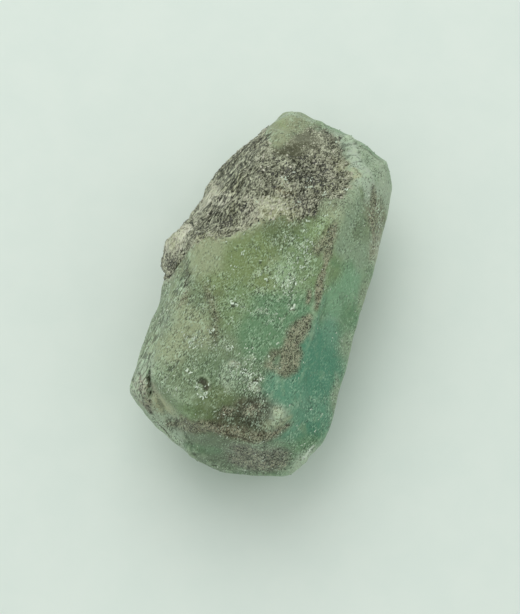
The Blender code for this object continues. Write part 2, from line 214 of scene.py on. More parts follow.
# Marks painted over the spots' colours, in this order: (colour, strength, softness of the edge, path
# of (x, y, z, half width)).
MARKS = (
    # The edge between the upper face and the schist.
    # Painted highlight: a pale line along the crest of the upper face.
    ("cream", 0.45, 0.25, ((-8.6, -1.0, 21.3, 0.14), (-7.9, 0.1, 21.2, 0.14), (-6.9, 0.5, 21.2, 0.14),
        (-5.9, 0.6, 21.2, 0.14), (-4.7, 1.4, 21.1, 0.14), (-3.7, 1.9, 21.1, 0.14))),
    # Painted shade: a grey band just beyond the crest.
    ("lead", 0.7, 0.3, ((-6.0, 1.3, 21.1, 0.2), (-5.2, 2.3, 20.7, 0.35), (-4.3, 3.2, 20.3, 0.2))),
    ("cream", 0.6, 0.4, ((-5.0, 1.6, 21.0, 0.1), (-3.6, 3.2, 20.6, 0.25), (-2.5, 3.8, 21.1, 0.35),
        (-1.7, 4.6, 21.2, 0.35), (-0.6, 5.2, 21.3, 0.28))),
    # The upper face.
    ("moss", 0.45, 0.8, ((0.3, 3.8, 21.2, 0.5), (1.5, 3.8, 21.2, 0.8), (3.2, 3.3, 21.2, 0.5))),
    ("spring", 0.4, 0.7, ((0.1, -1.0, 21.1, 0.3), (0.1, -2.2, 21.0, 0.6), (-0.5, -3.2, 21.0, 0.6))),
    ("milky", 0.4, 0.5, ((1.4, -0.7, 21.1, 0.4), (1.8, 0.0, 21.2, 0.4))),
    ("moss", 0.6, 0.2, ((-1.2, -7.9, 21.1, 0.1), (-0.3, -8.3, 21.1, 0.14), (0.5, -8.1, 21.1, 0.1))),
    ("frost", 0.5, 0.35, ((1.1, -8.3, 21.1, 0.2), (1.8, -7.7, 21.1, 0.2))),
    ("sea", 0.4, 0.9, ((1.1, -9.0, 21.1, 0.6), (2.4, -10.4, 21.1, 0.8))),
    ("olive", 0.4, 0.4, ((-6.0, -7.5, 21.2, 0.2), (-5.1, -7.8, 21.2, 0.3), (-4.4, -6.6, 21.2, 0.4))),
    ("olive", 0.35, 0.5, ((-4.1, -10.6, 21.2, 0.4), (-3.6, -12.6, 21.1, 0.3))),
    ("tan", 0.5, 0.5, ((-8.9, -7.4, 21.2, 0.3), (-8.8, -8.8, 21.3, 0.4), (-9.0, -9.8, 21.3, 0.3))),
    ("frost", 0.4, 0.2, ((-8.5, -4.1, 21.2, 0.14), (-8.3, -6.0, 21.2, 0.14))),
    ("coal", 0.7, 0.12, ((-7.2, -17.3, 21.3, 0.05), (-7.4, -18.0, 21.3, 0.12), (-7.8, -18.8, 21.3, 0.05))),
    ("coal", 0.5, 0.2, ((-8.0, -19.6, 21.4, 0.1), (-8.2, -20.4, 21.2, 0.1))),
    ("umber", 0.55, 0.4, ((4.3, -13.1, 21.1, 0.1), (5.3, -13.2, 21.2, 0.3), (5.9, -12.4, 21.2, 0.1))),
    ("chalk", 0.6, 0.25, ((-0.3, -15.7, 21.1, 0.35), (0.3, -16.1, 21.1, 0.28))),
    ("pale_sea", 0.6, 0.4, ((1.2, -17.5, 21.0, 0.5), (0.5, -16.6, 21.1, 0.4))),
    ("frost", 0.5, 0.25, ((-0.4, -18.8, 20.9, 0.3), (0.2, -19.5, 20.9, 0.2))),
    ("chalk", 0.6, 0.3, ((3.1, -18.6, 21.2, 0.3), (3.9, -18.6, 21.3, 0.28))),
    ("umber", 0.75, 0.2, ((2.9, -17.9, 21.2, 0.15), (3.5, -17.3, 21.3, 0.2))),
    ("umber", 0.75, 0.3, ((-3.6, -19.2, 21.1, 0.4), (-3.0, -19.4, 21.1, 0.35), (-2.6, -20.0, 21.1, 0.15))),
    # The near edge.
    ("umber", 0.55, 0.45, ((1.3, -21.2, 20.9, 0.2), (2.4, -20.6, 21.0, 0.4))),
    ("umber", 0.8, 0.45, ((0.6, -22.2, 20.6, 0.5), (0.2, -22.9, 20.2, 0.4))),
    ("umber", 0.85, 0.45, ((3.1, -21.9, 21.0, 0.4), (4.1, -21.4, 21.1, 0.7))),
    ("tan", 0.6, 0.5, ((6.1, -22.8, 20.2, 0.5), (7.8, -22.0, 19.6, 0.5), (9.0, -20.8, 19.2, 0.3))),
    ("cream", 0.55, 0.45, ((6.9, -20.8, 20.6, 0.3), (7.5, -21.1, 20.4, 0.35))),
    ("umber", 0.85, 0.4, ((-0.9, -24.4, 18.5, 0.4), (0.1, -24.1, 18.7, 0.55))),
    ("ash", 0.45, 0.6, ((5.3, -25.5, 13.5, 0.5), (5.6, -25.5, 12.6, 0.5))),
    ("sea", 0.5, 0.6, ((-4.2, -25.0, 10.3, 0.5), (-2.4, -25.6, 12.2, 0.8), (-0.2, -25.7, 13.1, 0.8))),
    # Painted light: a pale line along the lower left edge, where light comes through the thin rim.
    ("mint", 0.6, 0.2, ((-9.2, -23.2, 9.9, 0.15), (-7.2, -24.3, 8.6, 0.15), (-5.4, -25.2, 8.0, 0.15))),
    # Painted highlight: a white line along the chipped edge of the lower right rim.
    ("highlight_white", 0.9, 0.15, ((12.3, -21.5, 11.5, 0.12), (11.9, -22.5, 11.1, 0.17), (11.5, -23.2, 10.6, 0.12))),
    # The plate.
    ("stone", 0.5, 0.3, ((-12.0, -19.2, 16.6, 0.1), (-11.9, -20.4, 16.4, 0.12), (-11.7, -21.5, 16.0, 0.1))),
    ("coal", 0.8, 0.2, ((-10.0, -22.5, 12.9, 0.15), (-10.3, -22.4, 11.9, 0.25))),
    ("mint", 0.7, 0.2, ((-11.9, -21.7, 13.0, 0.2), (-11.2, -22.1, 12.9, 0.2))),
    # The right face.
    ("sage", 0.5, 0.9, ((8.9, 10.1, 21.0, 0.4), (9.6, 8.7, 20.4, 0.7), (9.7, 5.8, 20.2, 0.7))),
    ("bottle", 0.35, 0.5, ((10.6, 8.3, 18.8, 0.3), (11.7, 7.9, 17.6, 0.4), (11.6, 10.0, 17.4, 0.4))),
    ("sea", 0.55, 0.6, ((9.3, 1.4, 20.5, 0.3), (10.4, 1.8, 18.9, 0.4), (11.7, 3.1, 17.3, 0.4))),
    ("teal", 0.6, 0.6, ((9.4, -3.8, 19.9, 0.4), (9.2, -6.7, 20.3, 0.4), (9.0, -9.4, 20.8, 0.4),
        (8.9, -13.0, 20.6, 0.4))),
    ("mint", 0.25, 0.3, ((9.8, -6.2, 19.0, 0.1), (10.7, -5.2, 17.4, 0.15), (11.9, -4.5, 15.3, 0.15),
        (12.6, -4.5, 13.8, 0.1))),
    ("deep_teal", 0.6, 1.0, ((9.5, -11.1, 20.0, 0.7), (10.8, -12.8, 17.3, 1.0), (12.2, -14.0, 15.3, 0.7))),
    ("frost", 0.5, 0.3, ((13.1, -11.6, 13.7, 0.2), (13.5, -12.7, 12.9, 0.25), (13.8, -13.8, 12.3, 0.2))),
    ("pale_sea", 0.55, 0.35, ((10.5, -20.6, 15.9, 0.4), (11.1, -20.9, 14.5, 0.25))),
    # The far right rim.
    ("sage", 0.55, 0.4, ((9.4, 20.5, 15.1, 0.4), (10.4, 19.3, 15.8, 0.8), (11.6, 17.8, 16.2, 0.8),
        (12.2, 16.0, 16.0, 0.4))),
    # Painted light: pale bands where light comes through the thin rim.
    ("rim_glow_mint", 0.8, 0.3, ((6.3, 22.5, 14.3, 0.5), (7.4, 20.9, 15.2, 0.8), (8.3, 18.9, 16.4, 0.7),
        (9.2, 17.8, 16.8, 0.4))),
    ("rim_glow_mint", 0.6, 0.25, ((10.4, 17.2, 17.1, 0.3), (11.4, 16.4, 17.0, 0.4), (11.9, 15.9, 16.5, 0.2))),
    ("cream", 0.95, 0.2, ((8.6, 16.9, 17.5, 0.3), (9.3, 16.1, 18.0, 0.6))),
    ("moss", 0.8, 0.25, ((10.4, 13.7, 18.5, 0.25), (10.8, 12.9, 18.2, 0.4))),
    # Painted shade: a thin dark outline along the far rim's edge.
    ("graphite", 0.7, 0.12, ((8.6, 21.7, 14.5, 0.04), (10.5, 21.0, 14.6, 0.08), (12.0, 20.1, 14.6, 0.08),
        (12.9, 18.8, 14.2, 0.04))),
    # The tip.
    ("lime", 0.6, 0.6, ((-3.5, 23.3, 13.3, 0.5), (-2.6, 21.9, 14.5, 0.4))),
    ("mint", 0.75, 0.5, ((-4.5, 24.0, 11.8, 0.5), (-3.4, 25.0, 12.0, 0.5), (-1.9, 24.9, 12.9, 0.4),
        (-0.6, 24.8, 12.8, 0.3), (1.2, 24.4, 12.6, 0.2))),
    ("graphite", 0.65, 0.6, ((-2.8, 16.2, 17.9, 0.4), (-1.4, 17.2, 17.2, 0.7), (-0.1, 18.4, 16.5, 0.7),
        (2.6, 19.6, 15.9, 0.6))),
    # The slope.
    ("ash", 0.5, 0.3, ((-5.6, 17.2, 15.4, 0.25), (-4.9, 13.6, 18.5, 0.28), (-4.9, 11.2, 19.2, 0.21))),
    ("ash", 0.5, 0.25, ((-3.5, 16.9, 17.6, 0.15), (-3.3, 15.3, 18.5, 0.15))),
    ("coal", 0.45, 0.3, ((2.1, 23.4, 13.4, 0.15), (3.4, 23.0, 13.6, 0.2), (4.6, 22.0, 14.3, 0.21),
        (5.3, 20.9, 15.1, 0.14))),
    ("mint", 0.7, 0.5, ((4.9, 22.6, 13.8, 0.3), (6.0, 21.8, 14.5, 0.6), (6.4, 20.6, 15.0, 0.3))),
    ("bark", 0.6, 0.5, ((5.5, 18.2, 16.4, 0.5), (6.8, 17.4, 16.7, 0.7))),
    ("coal", 0.55, 0.4, ((7.4, 15.2, 17.8, 0.4), (8.2, 14.2, 18.4, 0.3))),
    ("coal", 0.65, 0.25, ((7.3, 11.7, 19.7, 0.2), (8.1, 10.9, 20.6, 0.2), (8.6, 11.8, 19.9, 0.2))),
    ("cream", 0.65, 0.5, ((-0.8, 12.3, 19.8, 0.3), (0.3, 11.3, 20.2, 0.5), (1.1, 10.8, 20.5, 0.5))),
    ("rust", 0.65, 0.4, ((-0.4, 9.9, 20.3, 0.3), (0.8, 9.6, 20.3, 0.5), (1.6, 10.0, 20.5, 0.3))),
    ("beige", 0.6, 0.6, ((-1.9, 8.0, 20.5, 0.4), (-0.6, 7.3, 21.0, 0.7), (1.3, 7.0, 21.4, 0.6))),
    ("chalk", 0.55, 0.4, ((-3.7, 7.8, 20.4, 0.35), (-3.4, 7.2, 20.5, 0.4))),
    ("mauve", 0.6, 0.4, ((-2.9, 6.2, 20.6, 0.35), (-2.4, 4.9, 21.0, 0.35))),
    ("umber", 0.5, 0.4, ((4.6, 7.9, 21.0, 0.5), (5.1, 7.3, 21.1, 0.3))),
    # The flank.
    ("coal", 0.5, 0.3, ((-3.8, 6.8, 20.1, 0.14), (-4.7, 5.5, 19.8, 0.35), (-5.6, 4.8, 19.6, 0.28),
        (-6.3, 4.3, 19.5, 0.28))),
    ("coal", 0.5, 0.25, ((-7.3, 2.0, 20.7, 0.2), (-6.5, 2.6, 20.3, 0.28), (-5.8, 3.4, 19.9, 0.21))),
    ("coal", 0.4, 0.3, ((-9.5, 1.1, 20.3, 0.2), (-8.4, 0.8, 21.0, 0.2), (-7.6, 1.0, 21.0, 0.2))),
    ("chalk", 0.75, 0.5, ((-10.3, 12.7, 10.7, 0.4), (-8.8, 8.8, 16.2, 0.42), (-9.2, 7.8, 15.5, 0.42),
        (-9.1, 5.9, 16.8, 0.42))),
    ("ash", 0.6, 0.5, ((-10.6, 10.2, 12.2, 0.35), (-10.4, 8.2, 13.4, 0.35))),
    ("ash", 0.6, 0.3, ((-6.4, 6.0, 18.8, 0.42), (-7.1, 6.3, 18.5, 0.25))),
    ("coal", 0.45, 0.35, ((-8.2, 10.5, 15.8, 0.28), (-7.1, 10.1, 17.5, 0.35))),
    ("coal", 0.45, 0.35, ((-8.7, 14.7, 12.1, 0.21), (-7.3, 11.5, 16.7, 0.42))),
    ("coal", 0.35, 0.35, ((-10.4, 14.7, 9.4, 0.28), (-10.4, 13.6, 10.2, 0.25))),
    ("coal", 0.4, 0.25, ((-11.7, 7.7, 11.4, 0.14), (-11.9, 6.7, 11.9, 0.17))),
    # The knob.
    ("feldspar", 0.8, 0.5, ((-11.9, 4.1, 14.5, 0.42), (-12.2, 2.2, 15.8, 0.69), (-11.0, -0.2, 18.5, 0.35),
        (-12.0, -0.1, 16.6, 0.28))),
    ("lead", 0.6, 0.35, ((-11.2, 4.9, 14.7, 0.14), (-10.2, 1.9, 18.8, 0.21), (-9.9, 0.0, 20.4, 0.21))),
    ("olive", 0.35, 0.3, ((-13.6, 0.3, 13.5, 0.1), (-12.8, -0.9, 15.1, 0.2))),
    ("umber", 0.45, 0.3, ((-12.3, -3.1, 16.2, 0.35), (-11.7, -2.7, 17.5, 0.28))),
    ("tan", 0.5, 0.4, ((-10.9, -1.3, 18.8, 0.4), (-11.1, -2.8, 18.5, 0.3))),
    ("ash", 0.6, 0.2, ((-12.5, -2.0, 16.0, 0.18), (-12.2, -2.3, 16.4, 0.18))),
)

# Mica film on the beryl: colour, softness of its edge, then a path of (x, y, z, half width).
FILM_STRENGTH = 0.85
FILMS = {
    "ridge": ("bark", 0.6, ((8.5, 6.8, 21.2, 0.25), (8.4, 4.7, 21.2, 0.5), (8.4, 3.3, 21.2, 0.55),
        (8.4, 1.9, 21.3, 0.45), (8.4, 0.8, 21.3, 0.25))),
    "ridge_foot": ("clay", 0.3, ((8.4, 0.6, 21.3, 0.2), (8.4, -0.9, 21.2, 0.36), (8.5, -2.6, 21.0, 0.4),
        (8.6, -4.0, 20.9, 0.42), (8.6, -5.4, 20.9, 0.36))),
    "beside_ridge": ("bark", 0.4, ((7.3, -3.6, 21.0, 0.2), (7.5, -5.0, 21.0, 0.3))),
    "ridge_haze": ("bark", 1.2, ((8.2, 5.8, 21.2, 0.5), (7.3, 3.4, 21.3, 0.8), (7.0, 2.4, 21.4, 0.6))),
    "patch": ("bark", 0.6, ((8.0, -7.2, 21.1, 0.5), (7.5, -8.6, 21.1, 1.15), (7.1, -10.0, 21.1, 1.2),
        (6.8, -11.4, 21.1, 1.1), (6.9, -12.8, 21.1, 1.5), (7.0, -14.0, 21.1, 1.4),
        (6.7, -15.2, 21.1, 0.8))),
    "patch_side": ("bark", 0.8, ((4.8, -13.2, 21.1, 0.5), (4.6, -14.8, 21.2, 0.5),
        (5.6, -15.2, 21.3, 0.4))),
    "right_edge": ("bark", 0.7, ((12.0, 15.2, 16.3, 0.3), (12.4, 13.4, 16.0, 0.6), (12.8, 11.2, 15.8, 0.6),
        (13.2, 9.8, 15.0, 0.6), (13.8, 8.8, 13.8, 0.45), (13.8, 6.0, 13.6, 0.05))),
    "near_band": ("clay", 0.7, ((-7.4, -23.2, 11.5, 0.5), (-5.6, -23.8, 13.6, 1.0),
        (-4.3, -24.1, 15.8, 1.5), (-3.0, -24.2, 17.0, 1.4), (-1.8, -24.2, 18.1, 1.1),
        (0.1, -24.3, 18.4, 0.9), (2.4, -24.3, 18.8, 0.9), (4.4, -24.4, 18.8, 0.9), (6.2, -23.9, 18.7, 0.8),
        (7.8, -22.8, 18.6, 0.7), (8.9, -21.6, 18.4, 0.3))),
    "plate": ("blush", 0.3, ((-12.1, -19.4, 16.5, 0.2), (-11.5, -20.6, 17.3, 0.45),
        (-11.1, -21.5, 16.8, 0.4))),
    "plate_end": ("cocoa", 0.25, ((-10.8, -21.7, 16.3, 0.3), (-10.5, -22.1, 15.4, 0.6),
        (-10.4, -22.3, 13.8, 0.55), (-10.1, -22.5, 12.2, 0.3))),
    "near_top": ("loam", 1.6, ((0.4, -22.3, 20.5, 0.4), (2.6, -22.0, 20.8, 0.8), (4.2, -21.2, 20.9, 0.8))),
    "near_end": ("stone", 1.1, ((3.6, -25.3, 16.0, 1.5), (4.8, -25.7, 12.4, 3.0), (7.0, -24.9, 12.0, 2.9),
        (8.0, -24.7, 10.8, 1.2))),
    "left_streaks": ("olive", 0.9, ((-10.2, -2.8, 20.0, 0.1), (-9.5, -4.8, 20.9, 0.3),
        (-8.9, -7.2, 21.1, 0.1))),
    "left_specks": ("bark", 0.9, ((-8.7, -7.2, 21.2, 0.1), (-8.8, -8.8, 21.3, 0.4),
        (-9.0, -9.8, 21.3, 0.1))),
    "upper_specks": ("bark", 1.0, ((-6.4, -6.1, 21.2, 0.2), (-5.2, -7.6, 21.2, 0.35),
        (-3.8, -10.6, 21.2, 0.3), (-3.4, -13.0, 21.0, 0.2))),
    "under_left": ("bark", 1.6, ((-9.0, -10.0, 3.5, 0.6), (-9.5, -3.0, 3.0, 1.2), (-7.0, 4.0, 1.5, 1.6))),
    "under_right": ("bark", 1.6, ((10.0, -14.0, 3.0, 0.4), (12.0, -4.0, 3.5, 1.0), (11.0, 8.0, 2.5, 1.4))),
    "far_wall": ("bark", 1.4, ((-1.0, 24.5, 9.0, 1.5), (5.0, 23.5, 6.0, 1.2), (10.0, 19.0, 8.0, 0.6))),
}

# Parts of the schist with many dark grains or many pale ones.
DARK_GRAINS = {
    "under_crest": (0.9, ((-9.3, 1.2, 20.3, 0.3), (-7.3, 2.2, 20.6, 0.5), (-6.0, 4.0, 19.7, 0.6),
        (-4.8, 5.6, 19.7, 0.6), (-4.0, 6.7, 20.1, 0.3))),
    "slope_band": (1.0, ((-3.5, 12.4, 19.7, 0.3), (-1.1, 13.0, 19.5, 0.7), (1.0, 13.4, 19.3, 1.0),
        (3.1, 13.4, 19.3, 1.1), (5.2, 13.2, 19.0, 0.8), (7.0, 12.8, 19.3, 0.5))),
    "knob_foot": (0.5, ((-13.6, -0.6, 13.6, 0.5), (-12.3, -2.6, 16.0, 0.6), (-11.0, -3.0, 18.4, 0.3))),
    "mid_slope": (1.0, ((0.4, 16.4, 17.6, 0.7), (2.6, 17.0, 17.2, 0.6), (4.6, 15.9, 17.6, 0.5))),
    "under_cream": (0.7, ((2.8, 9.8, 20.6, 0.6), (3.6, 8.6, 21.0, 0.5), (4.8, 7.8, 21.1, 0.4))),
}
PALE_GRAINS = {
    "flank_patch": (0.6, ((-10.0, 11.5, 12.2, 0.4), (-8.8, 8.8, 16.2, 0.6), (-9.1, 5.9, 16.8, 0.5))),
    "knob_top": (0.6, ((-12.3, 4.1, 14.0, 0.6), (-12.5, 2.2, 15.3, 1.1), (-11.4, 0.2, 17.6, 0.6))),
    "crest": (0.8, ((-3.6, 7.6, 20.5, 0.4), (-1.6, 7.6, 20.8, 0.7), (0.4, 7.4, 21.0, 0.8))),
    "cream": (0.6, ((-0.8, 12.3, 19.8, 0.2), (0.3, 11.3, 20.2, 0.5), (1.4, 10.7, 20.5, 0.5))),
    "right": (0.4, ((8.6, 16.9, 17.5, 0.2), (9.2, 16.2, 18.0, 0.4))),
    "tip": (1.0, ((-2.6, 22.5, 14.0, 0.8), (-2.3, 19.2, 16.5, 0.8))),
}

# Where the surface is drawn out in fibres: the leaves' edges on the schist's flank, and the left face.
FIBRES = {
    "flank": (1.2, ((-9.6, 2.6, 18.6, 0.8), (-8.6, 6.5, 16.9, 4.0), (-8.0, 12.0, 15.0, 5.4),
        (-6.5, 18.0, 14.0, 4.6))),
    "left_face": (1.2, ((-9.6, -2.5, 20.6, 0.8), (-9.6, -6.0, 20.6, 1.2), (-11.0, -12.0, 17.5, 2.0),
        (-11.5, -20.0, 15.0, 2.6))),
    "near_streaks": (0.6, ((-7.0, -23.4, 11.6, 1.0), (-4.5, -24.1, 15.6, 1.6), (-3.0, -24.3, 17.0, 1.2))),
}

# Bruised, sparkling beryl.
SPARKLES = {
    "upper": (0.8, ((5.6, 3.2, 21.2, 0.3), (5.2, 1.2, 21.2, 0.4), (4.8, -0.6, 21.3, 0.4))),
    "middle": (0.8, ((4.6, -2.4, 21.2, 0.5), (4.4, -3.6, 21.1, 0.7), (5.4, -5.6, 21.0, 0.5))),
    "sea": (0.9, ((-1.6, -7.6, 21.1, 0.2), (1.6, -7.9, 21.1, 0.3), (4.4, -8.2, 21.0, 0.3))),
    "left": (0.9, ((-4.0, -12.2, 21.2, 0.3), (-6.2, -14.4, 21.2, 0.5), (-1.2, -13.6, 21.2, 0.4))),
    "lower": (0.9, ((1.6, -14.0, 21.1, 0.4), (0.6, -16.6, 21.1, 0.9), (3.0, -17.6, 21.3, 0.9))),
    "under_pit": (0.5, ((-3.9, -20.3, 21.2, 0.4), (-2.7, -21.2, 21.1, 0.5))),
}

# Bright chips, painted near white as painted glints: (x, y, z, reach, how many, half length).
GLINTS = (
    (-2.4, -7.5, 21.0, 0.12, 3, 0.34), (-1.7, -7.9, 21.1, 0.2, 5, 0.18), (5.6, -6.2, 21.0, 0.14, 4, 0.36),
    (1.2, -3.4, 21.1, 0.08, 2, 0.3), (-0.2, -0.9, 21.1, 0.02, 1, 0.22), (-3.9, -12.1, 21.2, 0.14, 4, 0.26),
    (2.4, 5.0, 21.2, 0.06, 2, 0.22), (3.1, 3.3, 21.2, 0.06, 2, 0.18), (2.9, 2.7, 21.1, 0.08, 2, 0.2),
    (4.6, -3.2, 21.2, 0.28, 9, 0.24), (3.8, -4.0, 21.2, 0.3, 6, 0.18), (-11.5, -5.9, 17.3, 0.08, 3, 0.34),
    (-3.1, -2.7, 21.1, 0.14, 3, 0.18), (-2.7, -0.3, 21.2, 0.22, 5, 0.17), (5.9, 3.4, 21.3, 0.08, 3, 0.26),
    (5.6, 2.5, 21.2, 0.08, 3, 0.24), (5.3, 1.6, 21.2, 0.12, 3, 0.2), (5.3, -0.5, 21.2, 0.22, 6, 0.2),
    (4.4, 0.6, 21.2, 0.04, 1, 0.2), (6.1, -2.5, 21.2, 0.12, 3, 0.2), (4.1, 5.9, 21.2, 0.04, 1, 0.2),
    (4.4, 4.8, 21.2, 0.04, 1, 0.3), (4.6, 6.2, 21.2, 0.06, 2, 0.24), (3.8, 11.4, 20.0, 0.26, 10, 0.26),
    (-2.7, 7.5, 20.6, 0.04, 1, 0.26), (8.5, 12.7, 19.3, 0.05, 2, 0.32), (0.9, 13.5, 19.3, 0.03, 1, 0.24),
    (5.2, 21.4, 14.8, 0.1, 3, 0.2), (2.1, -14.5, 21.1, 0.2, 4, 0.24), (1.2, -16.8, 21.1, 0.12, 3, 0.22),
    (2.6, -17.0, 21.2, 0.14, 4, 0.28), (2.9, -18.1, 21.2, 0.22, 6, 0.24), (3.5, -18.5, 21.3, 0.3, 8, 0.2),
    (4.1, -17.2, 21.3, 0.14, 3, 0.22), (-5.7, -18.2, 21.3, 0.04, 2, 0.28),
    (-5.2, -18.4, 21.3, 0.04, 2, 0.28), (-2.6, -19.4, 21.0, 0.05, 2, 0.24),
    (-3.3, -20.5, 21.2, 0.1, 3, 0.2), (-2.8, -21.0, 21.1, 0.4, 12, 0.24),
    (-3.9, -20.3, 21.2, 0.26, 8, 0.18), (4.8, -11.8, 21.1, 0.1, 3, 0.28), (4.2, -13.7, 21.1, 0.12, 3, 0.2),
    (12.4, -18.3, 14.7, 0.3, 5, 0.14), (12.0, -20.1, 14.0, 0.1, 2, 0.14), (1.0, -13.2, 21.1, 0.18, 4, 0.2),
    (-1.1, -13.7, 21.1, 0.26, 5, 0.22), (-6.3, -14.5, 21.3, 0.4, 10, 0.18),
    (-0.1, -19.8, 20.8, 0.1, 2, 0.18), (6.9, 7.6, 21.3, 0.2, 3, 0.18), (5.7, 11.0, 19.8, 0.3, 6, 0.22),
    (0.2, 11.7, 20.1, 0.4, 8, 0.22), (2.6, 8.7, 20.8, 0.3, 5, 0.2), (3.2, 13.2, 19.3, 0.3, 6, 0.2),
    (0.5, -16.0, 21.1, 0.6, 10, 0.18),
)

# Pits: (x, y, z, radius, depth). Lumps: (x, y, z, radius, height). Grooves: a depth, and a path of
# (x, y, z, half width). Pits and grooves are also painted darker: painted shade in the hollows and
# cracks, and a painted dark outline along the rims.
PITS = (
    (-3.5, -19.2, 21.1, 0.85, 0.5), (-2.9, -19.9, 21.1, 0.5, 0.3), (3.2, -17.6, 21.3, 0.55, 0.35),
    (-2.2, -7.9, 21.0, 0.4, 0.2), (5.8, -6.6, 21.0, 0.4, 0.2), (0.0, -1.2, 21.1, 0.25, 0.15),
    (-4.0, -12.7, 21.2, 0.35, 0.2), (8.0, 11.4, 20.2, 0.5, 0.25),
)
LUMPS = (
    (8.8, 16.1, 17.8, 0.9, 0.4), (6.7, 22.4, 14.4, 1.1, 0.6), (7.8, 20.4, 15.0, 1.1, 0.45),
    (8.1, 18.6, 16.1, 1.0, 0.4), (9.9, 16.8, 17.2, 0.8, 0.25), (11.0, 16.3, 17.1, 0.9, 0.3),
    (7.3, -21.1, 20.5, 0.9, 0.3), (13.2, -20.3, 10.8, 2.4, 0.3), (9.6, -24.6, 8.9, 3.4, 0.7),
    (-4.9, -24.8, 9.7, 3.0, 0.5), (-2.3, -26.0, 9.8, 2.8, 0.45), (0.6, -26.6, 8.6, 2.6, 0.3),
    (-12.2, 2.2, 15.8, 1.3, 0.3), (-2.4, 4.2, 21.1, 0.9, 0.25), (-9.0, 8.2, 15.9, 1.2, 0.3),
    (-6.6, 6.1, 18.7, 0.8, 0.25), (-3.2, -21.0, 21.1, 0.7, 0.3), (3.6, -18.4, 21.3, 0.6, 0.25),
    (4.4, -3.4, 21.1, 0.8, 0.2), (3.8, 11.4, 20.0, 0.6, 0.3), (-0.5, -15.9, 21.1, 0.6, 0.25),
    (2.2, -14.6, 21.1, 0.6, 0.2), (-6.2, -14.4, 21.3, 0.7, 0.2),
)
GROOVES = {
    # Along the rims a groove's darkness is a painted dark outline, standing for shade at the stone's edge.
    "near_left_rim": (0.2, ((-9.8, -22.7, 11.5, 0.06), (-8.6, -23.4, 10.5, 0.1), (-7.0, -24.2, 9.4, 0.1),
        (-5.2, -25.0, 8.7, 0.08), (-3.6, -25.8, 8.5, 0.08), (-2.3, -26.2, 8.4, 0.1),
        (-1.1, -26.5, 8.5, 0.08), (0.2, -26.4, 9.2, 0.04))),
    "knob_edge": (0.35, ((-12.9, -4.6, 14.4, 0.14), (-12.1, -4.3, 16.4, 0.16), (-11.6, -3.6, 17.6, 0.14),
        (-11.1, -2.8, 18.5, 0.1), (-10.6, -1.9, 19.3, 0.05))),
    "knob_back": (0.3, ((-12.4, 5.6, 12.4, 0.1), (-11.4, 4.9, 14.6, 0.1), (-10.3, 2.4, 18.2, 0.12),
        (-9.9, 0.6, 20.0, 0.05))),
    "far_rim_edge": (0.14, ((8.6, 21.7, 14.5, 0.05), (10.0, 21.5, 14.1, 0.08), (11.5, 20.2, 14.9, 0.08),
        (12.6, 19.2, 14.6, 0.05))),
    "near_arch": (0.1, ((1.0, -24.7, 18.2, 0.02), (2.6, -24.8, 18.6, 0.08), (4.0, -24.9, 18.4, 0.1),
        (5.2, -25.0, 18.2, 0.12), (6.6, -24.3, 17.8, 0.1), (7.7, -23.3, 17.9, 0.08),
        (8.6, -22.3, 17.6, 0.02))),
    "plate_crack": (0.1, ((-10.6, -19.1, 19.4, 0.02), (-10.3, -20.1, 19.0, 0.06),
        (-10.1, -21.2, 17.1, 0.06), (-9.8, -22.4, 14.0, 0.04))),
    "left_line": (0.18, ((-9.0, -5.0, 21.1, 0.05), (-9.1, -6.0, 21.1, 0.09), (-9.2, -6.9, 21.1, 0.05))),
    "left_line_below": (0.15, ((-7.6, -7.0, 21.3, 0.04), (-7.9, -8.1, 21.4, 0.08), (-8.9, -8.7, 21.3, 0.06),
        (-9.2, -10.1, 21.2, 0.05))),
}

def linear(hex_colour):
    """Turns an sRGB hex colour into linear red, green, blue and alpha."""
    parts = [int(hex_colour[i : i + 2], 16) / 255 for i in (1, 3, 5)]
    return tuple(p / 12.92 if p < 0.04045 else ((p + 0.055) / 1.055) ** 2.4 for p in parts) + (1.0,)


def palette(name):
    """A named colour's linear red, green and blue."""
    return np.array(linear(PALETTE[name])[:3])


def smooth_step(low, high, values):
    """0 below low, 1 above high, and an S-curve 3t^2 - 2t^3 between."""
    part = np.clip((values - low) / (high - low), 0, 1)
    return part * part * (3 - 2 * part)


def along_grain(points):
    """Turns points about Z so that the grain of the stone runs along Y."""
    cos, sin = math.cos(-GRAIN_TURN), math.sin(-GRAIN_TURN)
    return points @ np.array([[cos, sin, 0], [-sin, cos, 0], [0, 0, 1]])


def cell_number(cells, seed):
    """A number from 0 to 1 for each lattice cell, from its whole coordinates mixed by large factors."""
    mixed = cells @ np.array([374761393, 668265263, 1442695041]) + seed * 1274126177
    mixed = (mixed ^ (mixed >> 13)) * 1103515245 & 0xFFFFFFFF
    mixed = (mixed ^ (mixed >> 15)) * 668265263 & 0xFFFFFFFF
    return ((mixed ^ (mixed >> 16)) & 0xFFFFF) / 0xFFFFF


def wander(points, across, along, seed):
    """Smooth noise from -1 to 1, of one size across the grain and another along it: the corners of a
    lattice hold random values, and S-curves blend the eight round a point."""
    at = points / np.array((across, along, across)) + 0.37 * seed
    base = np.floor(at).astype(np.int64)
    part = smooth_step(0, 1, at - base)
    total = np.zeros(len(points))
    for corner in np.ndindex(2, 2, 2):
        total += np.prod(np.where(corner, part, 1 - part), axis=1) * cell_number(base + corner, seed)
    return 2 * total - 1


def layered(points, across, along, seed, octaves=3):
    """Wandering noise summed over octaves, each half as large and 0.55 as strong as the last."""
    total = np.zeros(len(points))
    strength = 1.0
    for octave in range(octaves):
        scale = 0.5**octave
        total += strength * wander(points, across * scale, along * scale, seed + octave)
        strength *= 0.55
    return total


def rolling(points, kind, octaves=3):
    """Soft swells of one kind of relief: its height times layered noise."""
    return kind.height * layered(points, kind.across, kind.along, kind.seed, octaves)


def ridged(points, kind):
    """Sharp-crested streaks of one kind of relief: its height times 0.6 less the size of layered noise."""
    return kind.height * (0.6 - np.abs(layered(points, kind.across, kind.along, kind.seed)))


